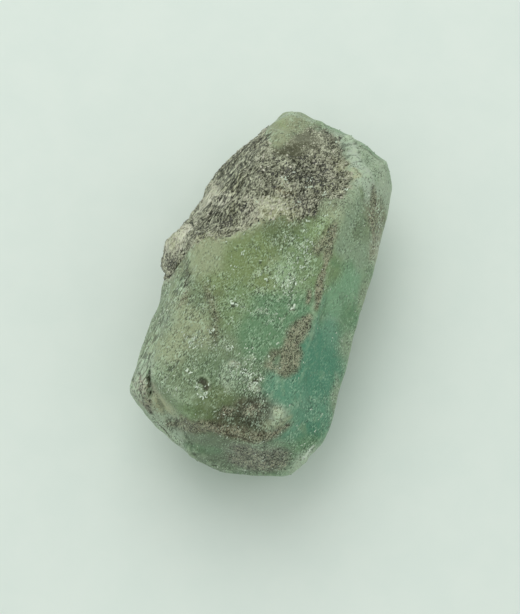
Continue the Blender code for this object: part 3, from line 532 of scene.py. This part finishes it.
def domed(points, kind):
    """Packed grains of one kind of relief: each lattice cell has one jittered centre. A point's value is 1
    at the nearest centre and falls to 0 a cell away from it."""
    at = points / np.array((kind.across, kind.along, kind.across))
    base = np.floor(at).astype(np.int64)
    closest = np.full(len(points), 9.0)
    for step in np.ndindex(3, 3, 3):
        cell = base + step - 1
        centre = cell + np.stack([cell_number(cell, kind.seed + k) for k in (1, 2, 3)], axis=1)
        closest = np.minimum(closest, np.linalg.norm(at - centre, axis=1))
    return np.clip(1 - closest, 0, 1)


def nearest(points, place):
    """The row of the point nearest to a place."""
    return ((points - place) ** 2).sum(axis=1).argmin()


def path_cover(points, softness, path, wobble=0.0):
    """1 within a path's half width and 0 beyond its softness. The path's places are first moved onto the
    surface. A point's distance is to the nearest leg, less the half width blended along that leg."""
    path = np.array(path, float)
    path[:, :3] = [points[nearest(points, place)] for place in path[:, :3]]
    best = np.full(len(points), 1e9)
    for start, end in zip(path[:-1], path[1:]):
        leg = end[:3] - start[:3]
        t = np.clip((points - start[:3]) @ leg / (leg @ leg), 0, 1)
        gap = np.linalg.norm(points - start[:3] - t[:, None] * leg, axis=1)
        best = np.minimum(best, gap - (start[3] + t * (end[3] - start[3])))
    return 1 - smooth_step(-softness, softness, best + wobble)


def cover(points, paths, wobble=0.0):
    """The strongest cover of a table of paths."""
    return np.max([path_cover(points, *row[-2:], wobble) for row in paths.values()], axis=0)


def inside_outline(points, outline):
    """Signed distance in plan to a closed outline, positive inside: distance to the nearest side, with
    its sign from how many sides a ray towards +X crosses."""
    plan = points[:, :2]
    corners = np.array(outline, float)
    closest = np.full(len(points), 1e9)
    within = np.zeros(len(points), bool)
    for a, b in zip(corners, np.roll(corners, -1, axis=0)):
        side = b - a
        t = np.clip((plan - a) @ side / (side @ side), 0, 1)
        closest = np.minimum(closest, np.linalg.norm(plan - a - t[:, None] * side, axis=1))
        spans = (a[1] > plan[:, 1]) != (b[1] > plan[:, 1])
        slope = side[0] / side[1] if side[1] else 0.0
        within ^= spans & (plan[:, 0] < a[0] + slope * (plan[:, 1] - a[1]))
    return np.where(within, closest, -closest)


def spot_values(points, spots):
    """Mean of the spots' colours and of how broken they are, each spot weighted by
    (1 + (distance / reach)^2)^-3."""
    total = np.zeros((len(points), 4))
    weights = np.zeros(len(points))
    for x, y, z, reach, colour, broken in spots:
        squared = ((points - (x, y, z)) ** 2).sum(axis=1) / reach**2
        weight = (1 + squared) ** -3.0
        total += weight[:, None] * np.append(palette(colour), broken)
        weights += weight
    total /= weights[:, None]
    return total[:, :3], total[:, 3]


def add(tree, kind, inputs=(), out=None, **settings):
    """Adds a shader node with its settings. Inputs are given by name, or in the order of the live
    sockets: each is a value, or the output it is linked to, and None leaves it as it is. Returns the
    named output, or the first live one."""
    node = tree.nodes.new("ShaderNode" + kind)
    for name, value in settings.items():
        setattr(node, name, value)
    if isinstance(inputs, dict):
        pairs = [(node.inputs[name], value) for name, value in inputs.items()]
    else:
        pairs = zip([socket for socket in node.inputs if socket.enabled], inputs)
    for socket, value in pairs:
        if isinstance(value, bpy.types.NodeSocket):
            tree.links.new(value, socket)
        elif value is not None:
            socket.default_value = value
    return node.outputs[out] if out else next(socket for socket in node.outputs if socket.enabled)


def new_material(name, roughness, ior, subsurface=0.0, radius=(1, 1, 1), gloss=0.5):
    """A material whose fixed numbers sit on the shader's own sockets. Returns the material and a function
    that adds nodes to it."""
    material = bpy.data.materials.new(name)
    material.use_nodes = True
    fixed = {
        "Roughness": roughness, "IOR": ior, "Specular IOR Level": gloss, "Subsurface Weight": subsurface,
        "Subsurface Radius": radius, "Subsurface Scale": MM,
    }
    for socket, value in fixed.items():
        material.node_tree.nodes["Principled BSDF"].inputs[socket].default_value = value
    return material, partial(add, material.node_tree)


def finished(material, patterns):
    """Links patterns to the shader's sockets by name, and returns the material."""
    for socket, pattern in patterns.items():
        material.node_tree.links.new(pattern, material.node_tree.nodes["Principled BSDF"].inputs[socket])
    return material


def grain_space(put, across, along):
    """Object coordinates turned to the grain of the stone and divided by real sizes in millimetres. The
    pattern is drawn out up the steep sides, where it would be too fine to show from above."""
    sizes = (across * MM, along * MM, STEEP_STRETCH * across * MM)
    here = put("TexCoord", out="Object")
    placed = {"Vector": here, "Rotation": (0, 0, GRAIN_TURN), "Scale": sizes}
    return put("Mapping", placed, vector_type="TEXTURE")


def drift(put, across, along, detail=3.0, fine=0.6, bend=0.0):
    """Drifting noise of a real size, spread to run from 0 to 1. Detail adds finer octaves, fine makes
    them stronger, and bend curls them."""
    noise = put("TexNoise", {
        "Vector": grain_space(put, across, along), "Scale": 1.0, "Detail": detail, "Roughness": fine,
        "Distortion": bend,
    })
    return put("MapRange", (noise, 0.3, 0.7))


def hairlines(put, across, along, thick, bend):
    """Fine curved lines, 1 on a line and 0 off it, where drifting noise passes through its mean."""
    off = put("Math", (drift(put, across, along, 1.0, 0.5, bend), 0.5), operation="SUBTRACT")
    return put("MapRange", (put("Math", (off,), operation="ABSOLUTE"), thick, 0.0, 0.0, 1.0))


def swing(put, pattern, strength):
    """A pattern that runs from 0 to 1, less a half and times a strength, so that it swings about 0."""
    return put("Math", (put("Math", (pattern, 0.5), operation="SUBTRACT"), strength), operation="MULTIPLY")


def lay_colours(put, base, layers):
    """Lays one colour after another over a base. A layer (pattern, low, high, strength, colour) starts
    to show where its pattern passes low, and is as strong as it gets from high on."""
    for pattern, low, high, strength, colour in layers:
        shown = put("MapRange", (pattern, low, high, 0.0, strength), interpolation_type="SMOOTHSTEP")
        base = put("Mix", (shown, base, linear(colour)), data_type="RGBA")
    return base


def etched_beryl():
    """Beryl, etched and rubbed: milky green that light enters a little way, frosted satin, with pale
    splinters and curls where it is bruised, dark ones where it is pitted, and brown mica film in the
    hollows. The splinters are drawn a little coarser than they are, to show. Its colour also holds
    painted light: a painted highlight on rises, which partly stands for rubbed wear, painted shade where
    the surface sinks under its neighbours, and painted shade in the pits and grooves."""
    material, put = new_material("beryl_etched", 0.46, 1.58, 0.12, (0.7, 1.2, 0.9), 0.3)
    broken, fibres, film, fringe, rubbed_rise_highlight, relief_highlight_shade, recess_shade = [
        put("Attribute", out="Fac", attribute_name=name)
        for name in ("broken", "fibres", "film", "fringe", "rubbed_rise_highlight", "relief_highlight_shade", "recess_shade")
    ]
    film = put("Math", (film, put("Math", (fringe, 0.5), operation="MULTIPLY")), operation="MAXIMUM")
    clear = put("MapRange", (film, 0.0, 1.0, 1.0, 0.55))
    coarse = drift(put, 1.1, 2.4, 4.0, 0.65, 0.8)
    clumps = put("MapRange", (drift(put, 0.9, 1.4, 2.0), 0.2, 0.8, 0.25, 1.5))
    lively = put("Math", (put("Math", (clumps, broken), operation="MULTIPLY"), clear), operation="MULTIPLY")
    strands = put("MapRange", (drift(put, 0.20, 1.3, 1.0), 0.2, 0.8, -0.25, 1.25))
    satin = put("Mix", (fibres, drift(put, 0.14, 0.36, 1.0), strands), data_type="FLOAT")
    satin = swing(put, satin, put("Math", (lively, 0.28), operation="ADD"))
    splinters = swing(put, drift(put, 0.19, 0.52, 1.0, 0.5, 1.6), lively)
    curls = put("Math", (hairlines(put, 0.7, 1.0, 0.275, 1.0), lively), operation="MULTIPLY")
    curls = put("Math", (curls, drift(put, 0.9, 1.3, 2.0)), operation="MULTIPLY")
    rubbed_rise_highlight = put("Math", (rubbed_rise_highlight, broken), operation="MULTIPLY")
    relief_highlight_shade = put("Math", (relief_highlight_shade, clear), operation="MULTIPLY")
    specks = put("Math", (clumps, 0.16, -0.64), operation="MULTIPLY_ADD")
    specks = put("Math", (drift(put, 0.26, 0.48, 1.5, 0.6, 2.0), specks), operation="ADD")
    specks = put("Math", (specks, film), operation="MULTIPLY")
    base = lay_colours(put, put("Attribute", out="Color", attribute_name="tint"), (
        (coarse, 0.55, 1.0, 0.20, "#a6b78e"),
        (coarse, 0.45, 0.0, 0.30, "#4a5a3a"),
        # Painted highlight on broad rises, partly for rubbed wear; then painted highlight and painted shade
        # from the small relief.
        (rubbed_rise_highlight, 0.2, 1.2, 0.30, "#a8b89c"),
        (relief_highlight_shade, 0.15, 1.1, 0.35, "#b6c8a8"),
        (relief_highlight_shade, -0.15, -1.1, 0.55, "#36422c"),
        (satin, 0.02, 0.50, 0.53, "#bad2b6"),
        (satin, -0.02, -0.50, 0.70, "#2b3925"),
        (splinters, 0.50, 0.66, 0.90, "#dceed8"),
        (splinters, -0.46, -0.64, 0.90, "#1c2414"),
        (curls, 0.45, 0.9, 0.35, "#c4d6b4"),
        (specks, -0.03, -0.21, 0.90, "#22200e"),
        (specks, 0.08, 0.30, 0.65, "#b2b096"),
        # Painted shade in the pits and grooves.
        (recess_shade, 0.15, 0.8, 0.75, "#3c3628"),
    ))
    return finished(material, {
        "Base Color": base,
        "Roughness": put("MapRange", (satin, -0.4, 0.4, 0.36, 0.6)),
        "Normal": put("Bump", {"Height": drift(put, 0.22, 0.5), "Distance": 0.10 * MM, "Strength": 0.8}),
    })


def broken_schist():
    """Mica schist, broken: dark biotite, silvery muscovite and pale feldspar in crowded grains on the
    slope, and drawn out into streaks and hairlines on the flank, where the leaves end. Its colour also
    holds a painted highlight on raised grains, painted shade where they sink, and painted shade in the
    pits and grooves."""
    material, put = new_material("mica_schist_broken", 0.55, 1.58, gloss=0.2)
    broken, fibres, pale, dark, relief_highlight_shade, recess_shade = [
        put("Attribute", out="Fac", attribute_name=name)
        for name in ("broken", "fibres", "pale", "dark", "relief_highlight_shade", "recess_shade")
    ]
    crowded = drift(put, 0.23, 0.54, 2.0, 0.6, 1.4)
    drawn_out = drift(put, 0.24, 1.4, 1.5, 0.6, 0.5)
    tones = put("Mix", (fibres, crowded, drawn_out), data_type="FLOAT")
    clumps = put("MapRange", (drift(put, 0.9, 1.8, 2.0), 0.0, 1.0, -0.7, -0.3))
    grit = put("Math", (put("Math", (tones, clumps), operation="ADD"), broken), operation="MULTIPLY")
    lighter = put("MapRange", (pale, 0.0, 1.0, 0.06, 0.30))
    darker = put("Math", (dark, 0.10), operation="MULTIPLY")
    grit = put("Math", (grit, put("Math", (lighter, darker), operation="SUBTRACT")), operation="ADD")
    cracks = put("Math", (hairlines(put, 0.50, 2.2, 0.35, 0.5), fibres), operation="MULTIPLY")
    cracks = put("Math", (cracks, broken), operation="MULTIPLY")
    fine = swing(put, drift(put, 0.14, 0.40, 1.0, 0.5, 0.8), broken)
    base = lay_colours(put, put("Attribute", out="Color", attribute_name="tint"), (
        (grit, -0.04, -0.24, 0.95, "#1b1c0d"),
        (grit, 0.06, 0.32, 0.88, "#dadec2"),
        # Painted highlight and painted shade from the small relief.
        (relief_highlight_shade, 0.2, 1.3, 0.40, "#b2b39a"),
        (relief_highlight_shade, -0.2, -1.3, 0.60, "#2a2a1c"),
        (cracks, 0.2, 0.8, 0.85, "#22231a"),
        (fine, 0.06, 0.45, 0.65, "#cdd0b4"),
        (fine, -0.06, -0.45, 0.80, "#202116"),
        # Painted shade in the pits and grooves.
        (recess_shade, 0.2, 1.0, 0.75, "#25251a"),
    ))
    grains = put("Bump", {"Height": grit, "Distance": 0.12 * MM, "Strength": 0.9})
    return finished(material, {
        "Base Color": base,
        "Roughness": put("MapRange", (grit, -0.5, 0.5, 0.70, 0.40)),
        "Normal": put("Bump", {"Height": fine, "Distance": 0.08 * MM, "Strength": 0.9, "Normal": grains}),
    })


def flake_finish(name, roughness, ior, dark, pale, subsurface):
    """One mineral's small plates: each has its own tone between a dark and a pale colour, and a mottle."""
    material, put = new_material(name, roughness, ior, subsurface)
    mottle = drift(put, 0.25, 0.5, 2.0)
    tone = put("Attribute", out="Fac", attribute_name="tone")
    base = put("Mix", (tone, linear(dark), linear(pale)), data_type="RGBA")
    return finished(material, {
        "Base Color": lay_colours(put, base, ((mottle, 0.6, 0.0, 0.35, dark),)),
        "Roughness": put("MapRange", (mottle, 0.0, 1.0, roughness * 0.8, roughness * 1.2)),
    })


def matte_paper():
    """Paper, smooth: matte, with a faint mottle that keeps its shade from being flat."""
    material, put = new_material("paper_smooth", 0.85, 1.45)
    mottle = ((drift(put, 9.0, 9.0), 0.0, 1.0, 1.0, "#dfe8e1"),)
    return finished(material, {"Base Color": lay_colours(put, linear("#dce6df"), mottle)})


def object_from(name, mesh, materials):
    """An object at the origin with this mesh and these materials."""
    thing = bpy.data.objects.new(name, mesh)
    bpy.context.scene.collection.objects.link(thing)
    for material in materials:
        mesh.materials.append(material)
    return thing


def finish_piece(piece):
    """Every piece rides on the stone's one body."""
    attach(piece, "root")


def read(mesh, collection, field, width, kind=np.float32):
    """Reads one field of a mesh as an array of rows."""
    source = getattr(mesh, collection)
    values = np.empty(len(source) * width, kind)
    source.foreach_get(field, values)
    return values.reshape(-1, width) if width > 1 else values


def fine_surface(node):
    """A new mesh on the CAD node's surface: its loose triangles merged, remeshed in small voxels, then
    smoothed so that the CAD's facets go."""
    mesh = node.data.copy()
    joined = bmesh.new()
    joined.from_mesh(mesh)
    bmesh.ops.remove_doubles(joined, verts=joined.verts, dist=1e-6)
    joined.to_mesh(mesh)
    joined.free()
    mesh.materials.clear()
    for name in [a.name for a in mesh.attributes if not a.is_required and not a.is_internal]:
        mesh.attributes.remove(mesh.attributes[name])
    rough = object_from("rough_skin", mesh, [])
    remesh = rough.modifiers.new("voxels", "REMESH")
    remesh.mode = "VOXEL"
    remesh.voxel_size = SKIN_VOXEL * MM
    smooth = rough.modifiers.new("smooth", "SMOOTH")
    smooth.factor = 0.5
    smooth.iterations = SKIN_SMOOTHING
    depsgraph = bpy.context.evaluated_depsgraph_get()
    result = bpy.data.meshes.new_from_object(rough.evaluated_get(depsgraph))
    bpy.data.objects.remove(rough)
    bpy.data.meshes.remove(mesh)
    return result


def schist_shares(points):
    """Three shares from the distance inside the outline in plan, all thinning out low down. The schist's
    own is 1 or 0 with a ragged edge. Its fringe of loose grains fades out over the beryl, is thinner left
    of the crest, and is missing on the far rim. Its colour passes softly into the beryl's."""
    ragged = 0.50 * layered(points, 1.3, 2.0, 11) + 0.25 * wander(points, 0.5, 0.5, 15)
    inside = inside_outline(points, SCHIST_OUTLINE) + ragged
    foot = smooth_step(*SCHIST_FOOT, points[:, 2] + 1.6 * wander(points, 3.0, 5.0, 16))
    fringe = smooth_step(-FRINGE, 0.2, inside) * (0.25 + 0.75 * smooth_step(*FRINGE_CREST, points[:, 0]))
    fringe *= 1 - smooth_step(*FRINGE_RIM, points[:, 1])
    return smooth_step(-0.12, 0.12, inside) * foot, fringe * foot, smooth_step(-1.1, 0.7, inside) * foot


def neighbour_mean(values, edges, passes):
    """Mean of the neighbours of each vertex, taken over and over: rows are summed along the edges and
    divided by how many edges meet there."""
    ends = np.concatenate([edges, edges[:, ::-1]])
    count = np.bincount(ends[:, 0], minlength=len(values))[:, None]
    for _ in range(passes):
        sums = [np.bincount(ends[:, 0], column[ends[:, 1]], len(values)) for column in values.T]
        values = np.stack(sums, axis=1) / count
    return values


def painted(points, tint, wobble):
    """The tint with the films and then the marks laid over it one after another, each as strong as the
    cover of its path."""
    films = [(colour, FILM_STRENGTH, softness, path) for colour, softness, path in FILMS.values()]
    for colour, strength, softness, path in (*films, *MARKS):
        laid = strength * path_cover(points, softness, path, wobble)
        tint = tint + laid[:, None] * (palette(colour) - tint)
    return tint


def bowl(points, x, y, z, radius, rag):
    """(1 - (distance / radius)^2)^1.5 round a point, where the distance is under the radius. The distance
    wobbles by up to a third of the radius, or of a millimetre if that is less."""
    middle = points[nearest(points, (x, y, z))]
    away = np.linalg.norm(points - middle, axis=1) + 0.35 * min(radius, 1.0) * rag
    return np.clip(1 - (away / radius) ** 2, 0, 1) ** 1.5


def carve_and_shade(points):
    """Depth of the pits and grooves, less the height of the lumps, and their darkness, which is painted
    shade in the hollows and a painted dark outline along the rims: pits and lumps are bowls, and a groove
    has the cover of its path."""
    rag = wander(points, 0.7, 0.7, 49)
    wobble = 0.10 * wander(points, 1.2, 1.2, 51)
    depth = np.zeros(len(points))
    dark = np.zeros(len(points))
    for x, y, z, radius, deep in PITS:
        hollow = bowl(points, x, y, z, radius, rag)
        depth = np.maximum(depth, deep * hollow)
        dark = np.maximum(dark, 0.6 * hollow)
    for deep, path in GROOVES.values():
        line = path_cover(points, GROOVE_EDGE, path, wobble)
        depth = np.maximum(depth, deep * line)
        dark = np.maximum(dark, line)
    for x, y, z, radius, height in LUMPS:
        depth -= height * bowl(points, x, y, z, radius, rag)
    return depth, dark


def relief(points, shares, depth):
    """Height of the roughness over the smooth stone, less the carved depth. Beryl has ridged streaks along
    the grain on broad ripples, shallow scallops where its edges are chipped, domed bits where it sparkles
    and grit in its film. Schist has the edges of its leaves on the flank and packed grains on the slope."""
    turned = along_grain(points)
    etched = shares["broken"] * ridged(turned, ETCHING) + rolling(turned, RIPPLES, 2)
    etched -= shares["edge"] * SCALLOPS.height * domed(turned, SCALLOPS) ** 2
    etched += shares["sparkle"] * (BRUISES.height * domed(turned, BRUISES) - 0.16)
    etched += shares["film"] * rolling(turned, FILM_GRIT)
    crust = CRUST.height * (domed(turned, CRUST) - 0.45) + rolling(turned, CRUST_GRIT)
    broken = shares["broken"] * (crust + shares["fibres"] * (ridged(turned, LEAVES) - 0.7 * crust))
    return etched + shares["schist"] * (broken - etched) - depth


def survey(points, normals, edges):
    """The colour, the carved depth and the shares of the finishes at every vertex of the smooth skin. The
    shares include the painted shade of the pits and grooves.
    """
    beryl_tint, beryl_broken = spot_values(points, BERYL_SPOTS)
    schist_tint, schist_broken = spot_values(points, SCHIST_SPOTS)
    schist, fringe, blend = schist_shares(points)
    rag = 0.35 * layered(points, 1.5, 1.5, 17) + 0.15 * wander(points, 0.45, 0.45, 19)
    wobble = 0.6 * rag - MARKS_WIDER
    convex = ((points - neighbour_mean(points, edges, 30)) * normals).sum(axis=1)
    tint = beryl_tint + np.maximum(blend, 0.4 * fringe)[:, None] * (schist_tint - beryl_tint)
    depth, dark = carve_and_shade(points)
    return painted(points, tint, wobble), depth, {
        "schist": schist,
        "fringe": fringe,
        "broken": beryl_broken + schist * (schist_broken - beryl_broken),
        "fibres": cover(points, FIBRES),
        "film": cover(points, FILMS, wobble),
        "dark": cover(points, DARK_GRAINS, rag),
        "pale": cover(points, PALE_GRAINS, rag),
        "sparkle": cover(points, SPARKLES, rag),
        "edge": smooth_step(0.10, 0.35, convex),
        # Painted shade of the pits and grooves, with painted dark outlines along the rims.
        "recess_shade": dark,
    }


def write_share(mesh, name, values):
    """Writes a share on the vertices for the materials to read."""
    mesh.attributes.new(name, "FLOAT", "POINT").data.foreach_set("value", values.astype(np.float32))


def make_skin(node):
    """The whole surface of the stone, in two finishes. Returns its points and normals in millimetres and
    the shares of its finishes."""
    mesh = fine_surface(node)
    points = read(mesh, "vertices", "co", 3) / MM
    normals = read(mesh, "vertex_normals", "vector", 3)
    edges = read(mesh, "edges", "vertices", 2, np.int32)
    tint, depth, shares = survey(points, normals, edges)
    raised = points + relief(points, shares, depth)[:, None] * normals
    raised = np.clip(raised, points.min(axis=0) - SKIN_OVER, points.max(axis=0) + SKIN_OVER)
    raised[:, 2] = np.maximum(raised[:, 2], 0.0)
    close = neighbour_mean(raised, edges, 4)
    wide = neighbour_mean(close, edges, 30)
    # These set the painted highlight and painted shade that the materials lay over the relief.
    shares["relief_highlight_shade"] = ((raised - close) * normals).sum(axis=1) / SMALL_RELIEF
    shares["rubbed_rise_highlight"] = ((close - wide) * normals).sum(axis=1) / BROAD_RELIEF
    mesh.vertices.foreach_set("co", (raised * MM).astype(np.float32).ravel())
    colour = mesh.attributes.new("tint", "FLOAT_COLOR", "POINT")
    colour.data.foreach_set("color", np.column_stack([tint, np.ones(len(tint))]).astype(np.float32).ravel())
    for name, values in shares.items():
        write_share(mesh, name, values)
    corners = read(mesh, "loops", "vertex_index", 1, np.int32)
    starts = read(mesh, "polygons", "loop_start", 1, np.int32)
    mesh.polygons.foreach_set("material_index", (shares["schist"][corners[starts]] > 0.5).astype(np.int32))
    mesh.polygons.foreach_set("use_smooth", np.ones(len(starts), bool))
    mesh.update()
    skin = object_from("stone_skin", mesh, [etched_beryl(), broken_schist()])
    finish_piece(skin)
    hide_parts(NODE)
    return raised, normals, shares


def glint_rows(points, glint, random):
    """Rows of the surface for one glint: its count of places, each the nearest to a point thrown round
    the glint's middle within its reach."""
    x, y, z, reach, count, _ = glint
    thrown = np.array((x, y, z)) + random.normal(size=(count, 3)) * reach * (1, 1, 0.2)
    return np.array([nearest(points, place) for place in thrown])


def lay_flakes(name, points, normals, rows, sizes=1.0):
    """Thin six-cornered plates on the surface. Each corner is at angle 60 k degrees and 0.7 to 1.15 of the
    plate's half length and half width. A plate's long side follows the grain within a random turn, its
    normal is the surface's plus a random lean, and its middle stands lift of its thickness proud."""
    long, wide, thick, lean, lift, seed = FLAKES[name]
    random = np.random.default_rng(seed)
    count = len(rows)
    up = normals[rows] + random.normal(size=(count, 3)) * lean
    up /= np.linalg.norm(up, axis=1)[:, None]
    turn = GRAIN_TURN + random.normal(size=count) * 0.5
    grain = np.stack([-np.sin(turn), np.cos(turn), np.zeros(count)], axis=1)
    side = np.cross(grain, up)
    side /= np.linalg.norm(side, axis=1)[:, None]
    grain = np.cross(up, side)
    angles = np.radians(60 * np.arange(6)) + random.normal(size=(count, 6)) * 0.15
    reach = random.uniform(0.70, 1.15, (count, 6))
    size = random.uniform(0.6, 1.0, (count, 1)) ** 1.5 * np.reshape(sizes, (-1, 1))
    x = (np.cos(angles) * reach * size * long)[:, :, None] * grain[:, None, :]
    y = (np.sin(angles) * reach * size * wide)[:, :, None] * side[:, None, :]
    middle = points[rows] + up * (lift * thick)
    rim = middle[:, None, :] + x + y
    half = up[:, None, :] * (thick / 2)
    corners = np.concatenate([rim + half, rim - half], axis=1).reshape(-1, 3) * MM
    k = np.arange(6)
    first = 12 * np.arange(count)[:, None]
    tops = k + first
    bottoms = k[::-1] + 6 + first
    walls = np.stack([k, k + 6, (k + 1) % 6 + 6, (k + 1) % 6], axis=1) + first[:, :, None]
    mesh = bpy.data.meshes.new(name)
    mesh.from_pydata(corners.tolist(), [], tops.tolist() + bottoms.tolist() + walls.reshape(-1, 4).tolist())
    write_share(mesh, "tone", np.repeat(random.uniform(0, 1, count), 12))
    finish_piece(object_from(name, mesh, [flake_finish(*FLAKE_FINISHES[name])]))


def make_floor():
    """A wide sheet of pale paper under the stone."""
    mesh = bpy.data.meshes.new("paper")
    half = 1.5
    corners = [(-half, -half, 0), (half, -half, 0), (half, half, 0), (-half, half, 0)]
    mesh.from_pydata(corners, [], [(0, 1, 2, 3)])
    floor = object_from("paper", mesh, [matte_paper()])


def make_light(name, place, target, size, power, colour):
    """A round soft light of a given diameter that shines from its place towards a target."""
    data = bpy.data.lights.new(name, "AREA")
    data.shape = "DISK"
    data.size = size
    data.energy = power
    data.color = linear(colour)[:3]
    light = bpy.data.objects.new(name, data)
    light.location = place
    light.rotation_euler = (Vector(target) - Vector(place)).to_track_quat("-Z", "Y").to_euler()
    bpy.context.scene.collection.objects.link(light)


def make_world(colour, strength):
    """The even light of a pale room."""
    world = bpy.data.worlds.new("soft_room")
    world.use_nodes = True
    background = world.node_tree.nodes["Background"]
    background.inputs["Color"].default_value = linear(colour)
    background.inputs["Strength"].default_value = strength
    bpy.context.scene.world = world


def make_camera(target, azimuth, elevation, distance, lens):
    """A camera at a distance from its target, turned round it by the azimuth and raised by the elevation
    in degrees, with its top towards the far end of the stone."""
    azimuth, elevation = math.radians(azimuth), math.radians(elevation)
    back = Vector((
        math.sin(azimuth) * math.cos(elevation),
        -math.cos(azimuth) * math.cos(elevation),
        math.sin(elevation),
    ))
    right = Vector((math.cos(azimuth), math.sin(azimuth), 0))
    turn = Matrix((right, back.cross(right), back)).transposed().to_quaternion()
    data = bpy.data.cameras.new("camera")
    data.sensor_fit = "HORIZONTAL"
    data.sensor_width = 36.0
    data.lens = lens
    data.clip_start = 0.01
    data.clip_end = 10
    camera = bpy.data.objects.new("camera", data)
    camera.matrix_world = Matrix.LocRotScale(Vector(target) + distance * back, turn, None)
    bpy.context.scene.collection.objects.link(camera)
    bpy.context.scene.camera = camera


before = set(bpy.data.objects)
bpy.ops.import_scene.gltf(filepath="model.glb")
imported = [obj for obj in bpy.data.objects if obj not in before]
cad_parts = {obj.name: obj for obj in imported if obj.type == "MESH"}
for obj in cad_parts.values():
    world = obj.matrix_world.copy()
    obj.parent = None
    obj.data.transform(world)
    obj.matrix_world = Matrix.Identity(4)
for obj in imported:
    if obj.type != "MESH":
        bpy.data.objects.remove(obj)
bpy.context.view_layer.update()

points, normals, shares = make_skin(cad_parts[NODE])

# The small pieces lie mostly where each kind's weight is high: how many, and the weight of each vertex.
random = np.random.default_rng(7)
upward = smooth_step(-0.3, 0.4, normals[:, 2])
beryl = 1 - shares["schist"]
slope = smooth_step(0.3, 0.9, shares["schist"]) * (1 - 0.65 * shares["fibres"])
patchy = 0.4 + 0.6 * wander(points, 1.5, 2.5, 61) ** 2
rough = shares["broken"] ** 2
sown = {
    "mica_silver": (1400, slope * patchy * rough),
    "mica_dark": (1200, slope * (0.2 + 1.5 * shares["dark"]) * rough),
    "feldspar_grains": (300, slope * (0.1 + 2 * shares["pale"])),
    "beryl_sparkle_splinters": (600, beryl * upward * (0.05 + shares["sparkle"]) * rough),
}
for name, (count, weights) in sown.items():
    rows = random.choice(len(points), count, replace=False, p=weights / weights.sum())
    lay_flakes(name, points, normals, rows)
rows = np.concatenate([glint_rows(points, glint, random) for glint in GLINTS])
lay_flakes("beryl_glint_chips", points, normals, rows, np.concatenate([np.full(row[4], row[5]) for row in GLINTS]))

make_floor()
make_world("#f4f8f5", 0.82)
make_light("window", place=(-0.20, 0.38, 0.58), target=(0, 0, 0.01), size=0.64, power=1.65, colour="#fdfffd")
make_camera(target=(0.000379, -0.003243, 0.009572), azimuth=14, elevation=70, distance=0.300, lens=149.5)
bpy.context.scene.view_settings.view_transform = "Standard"
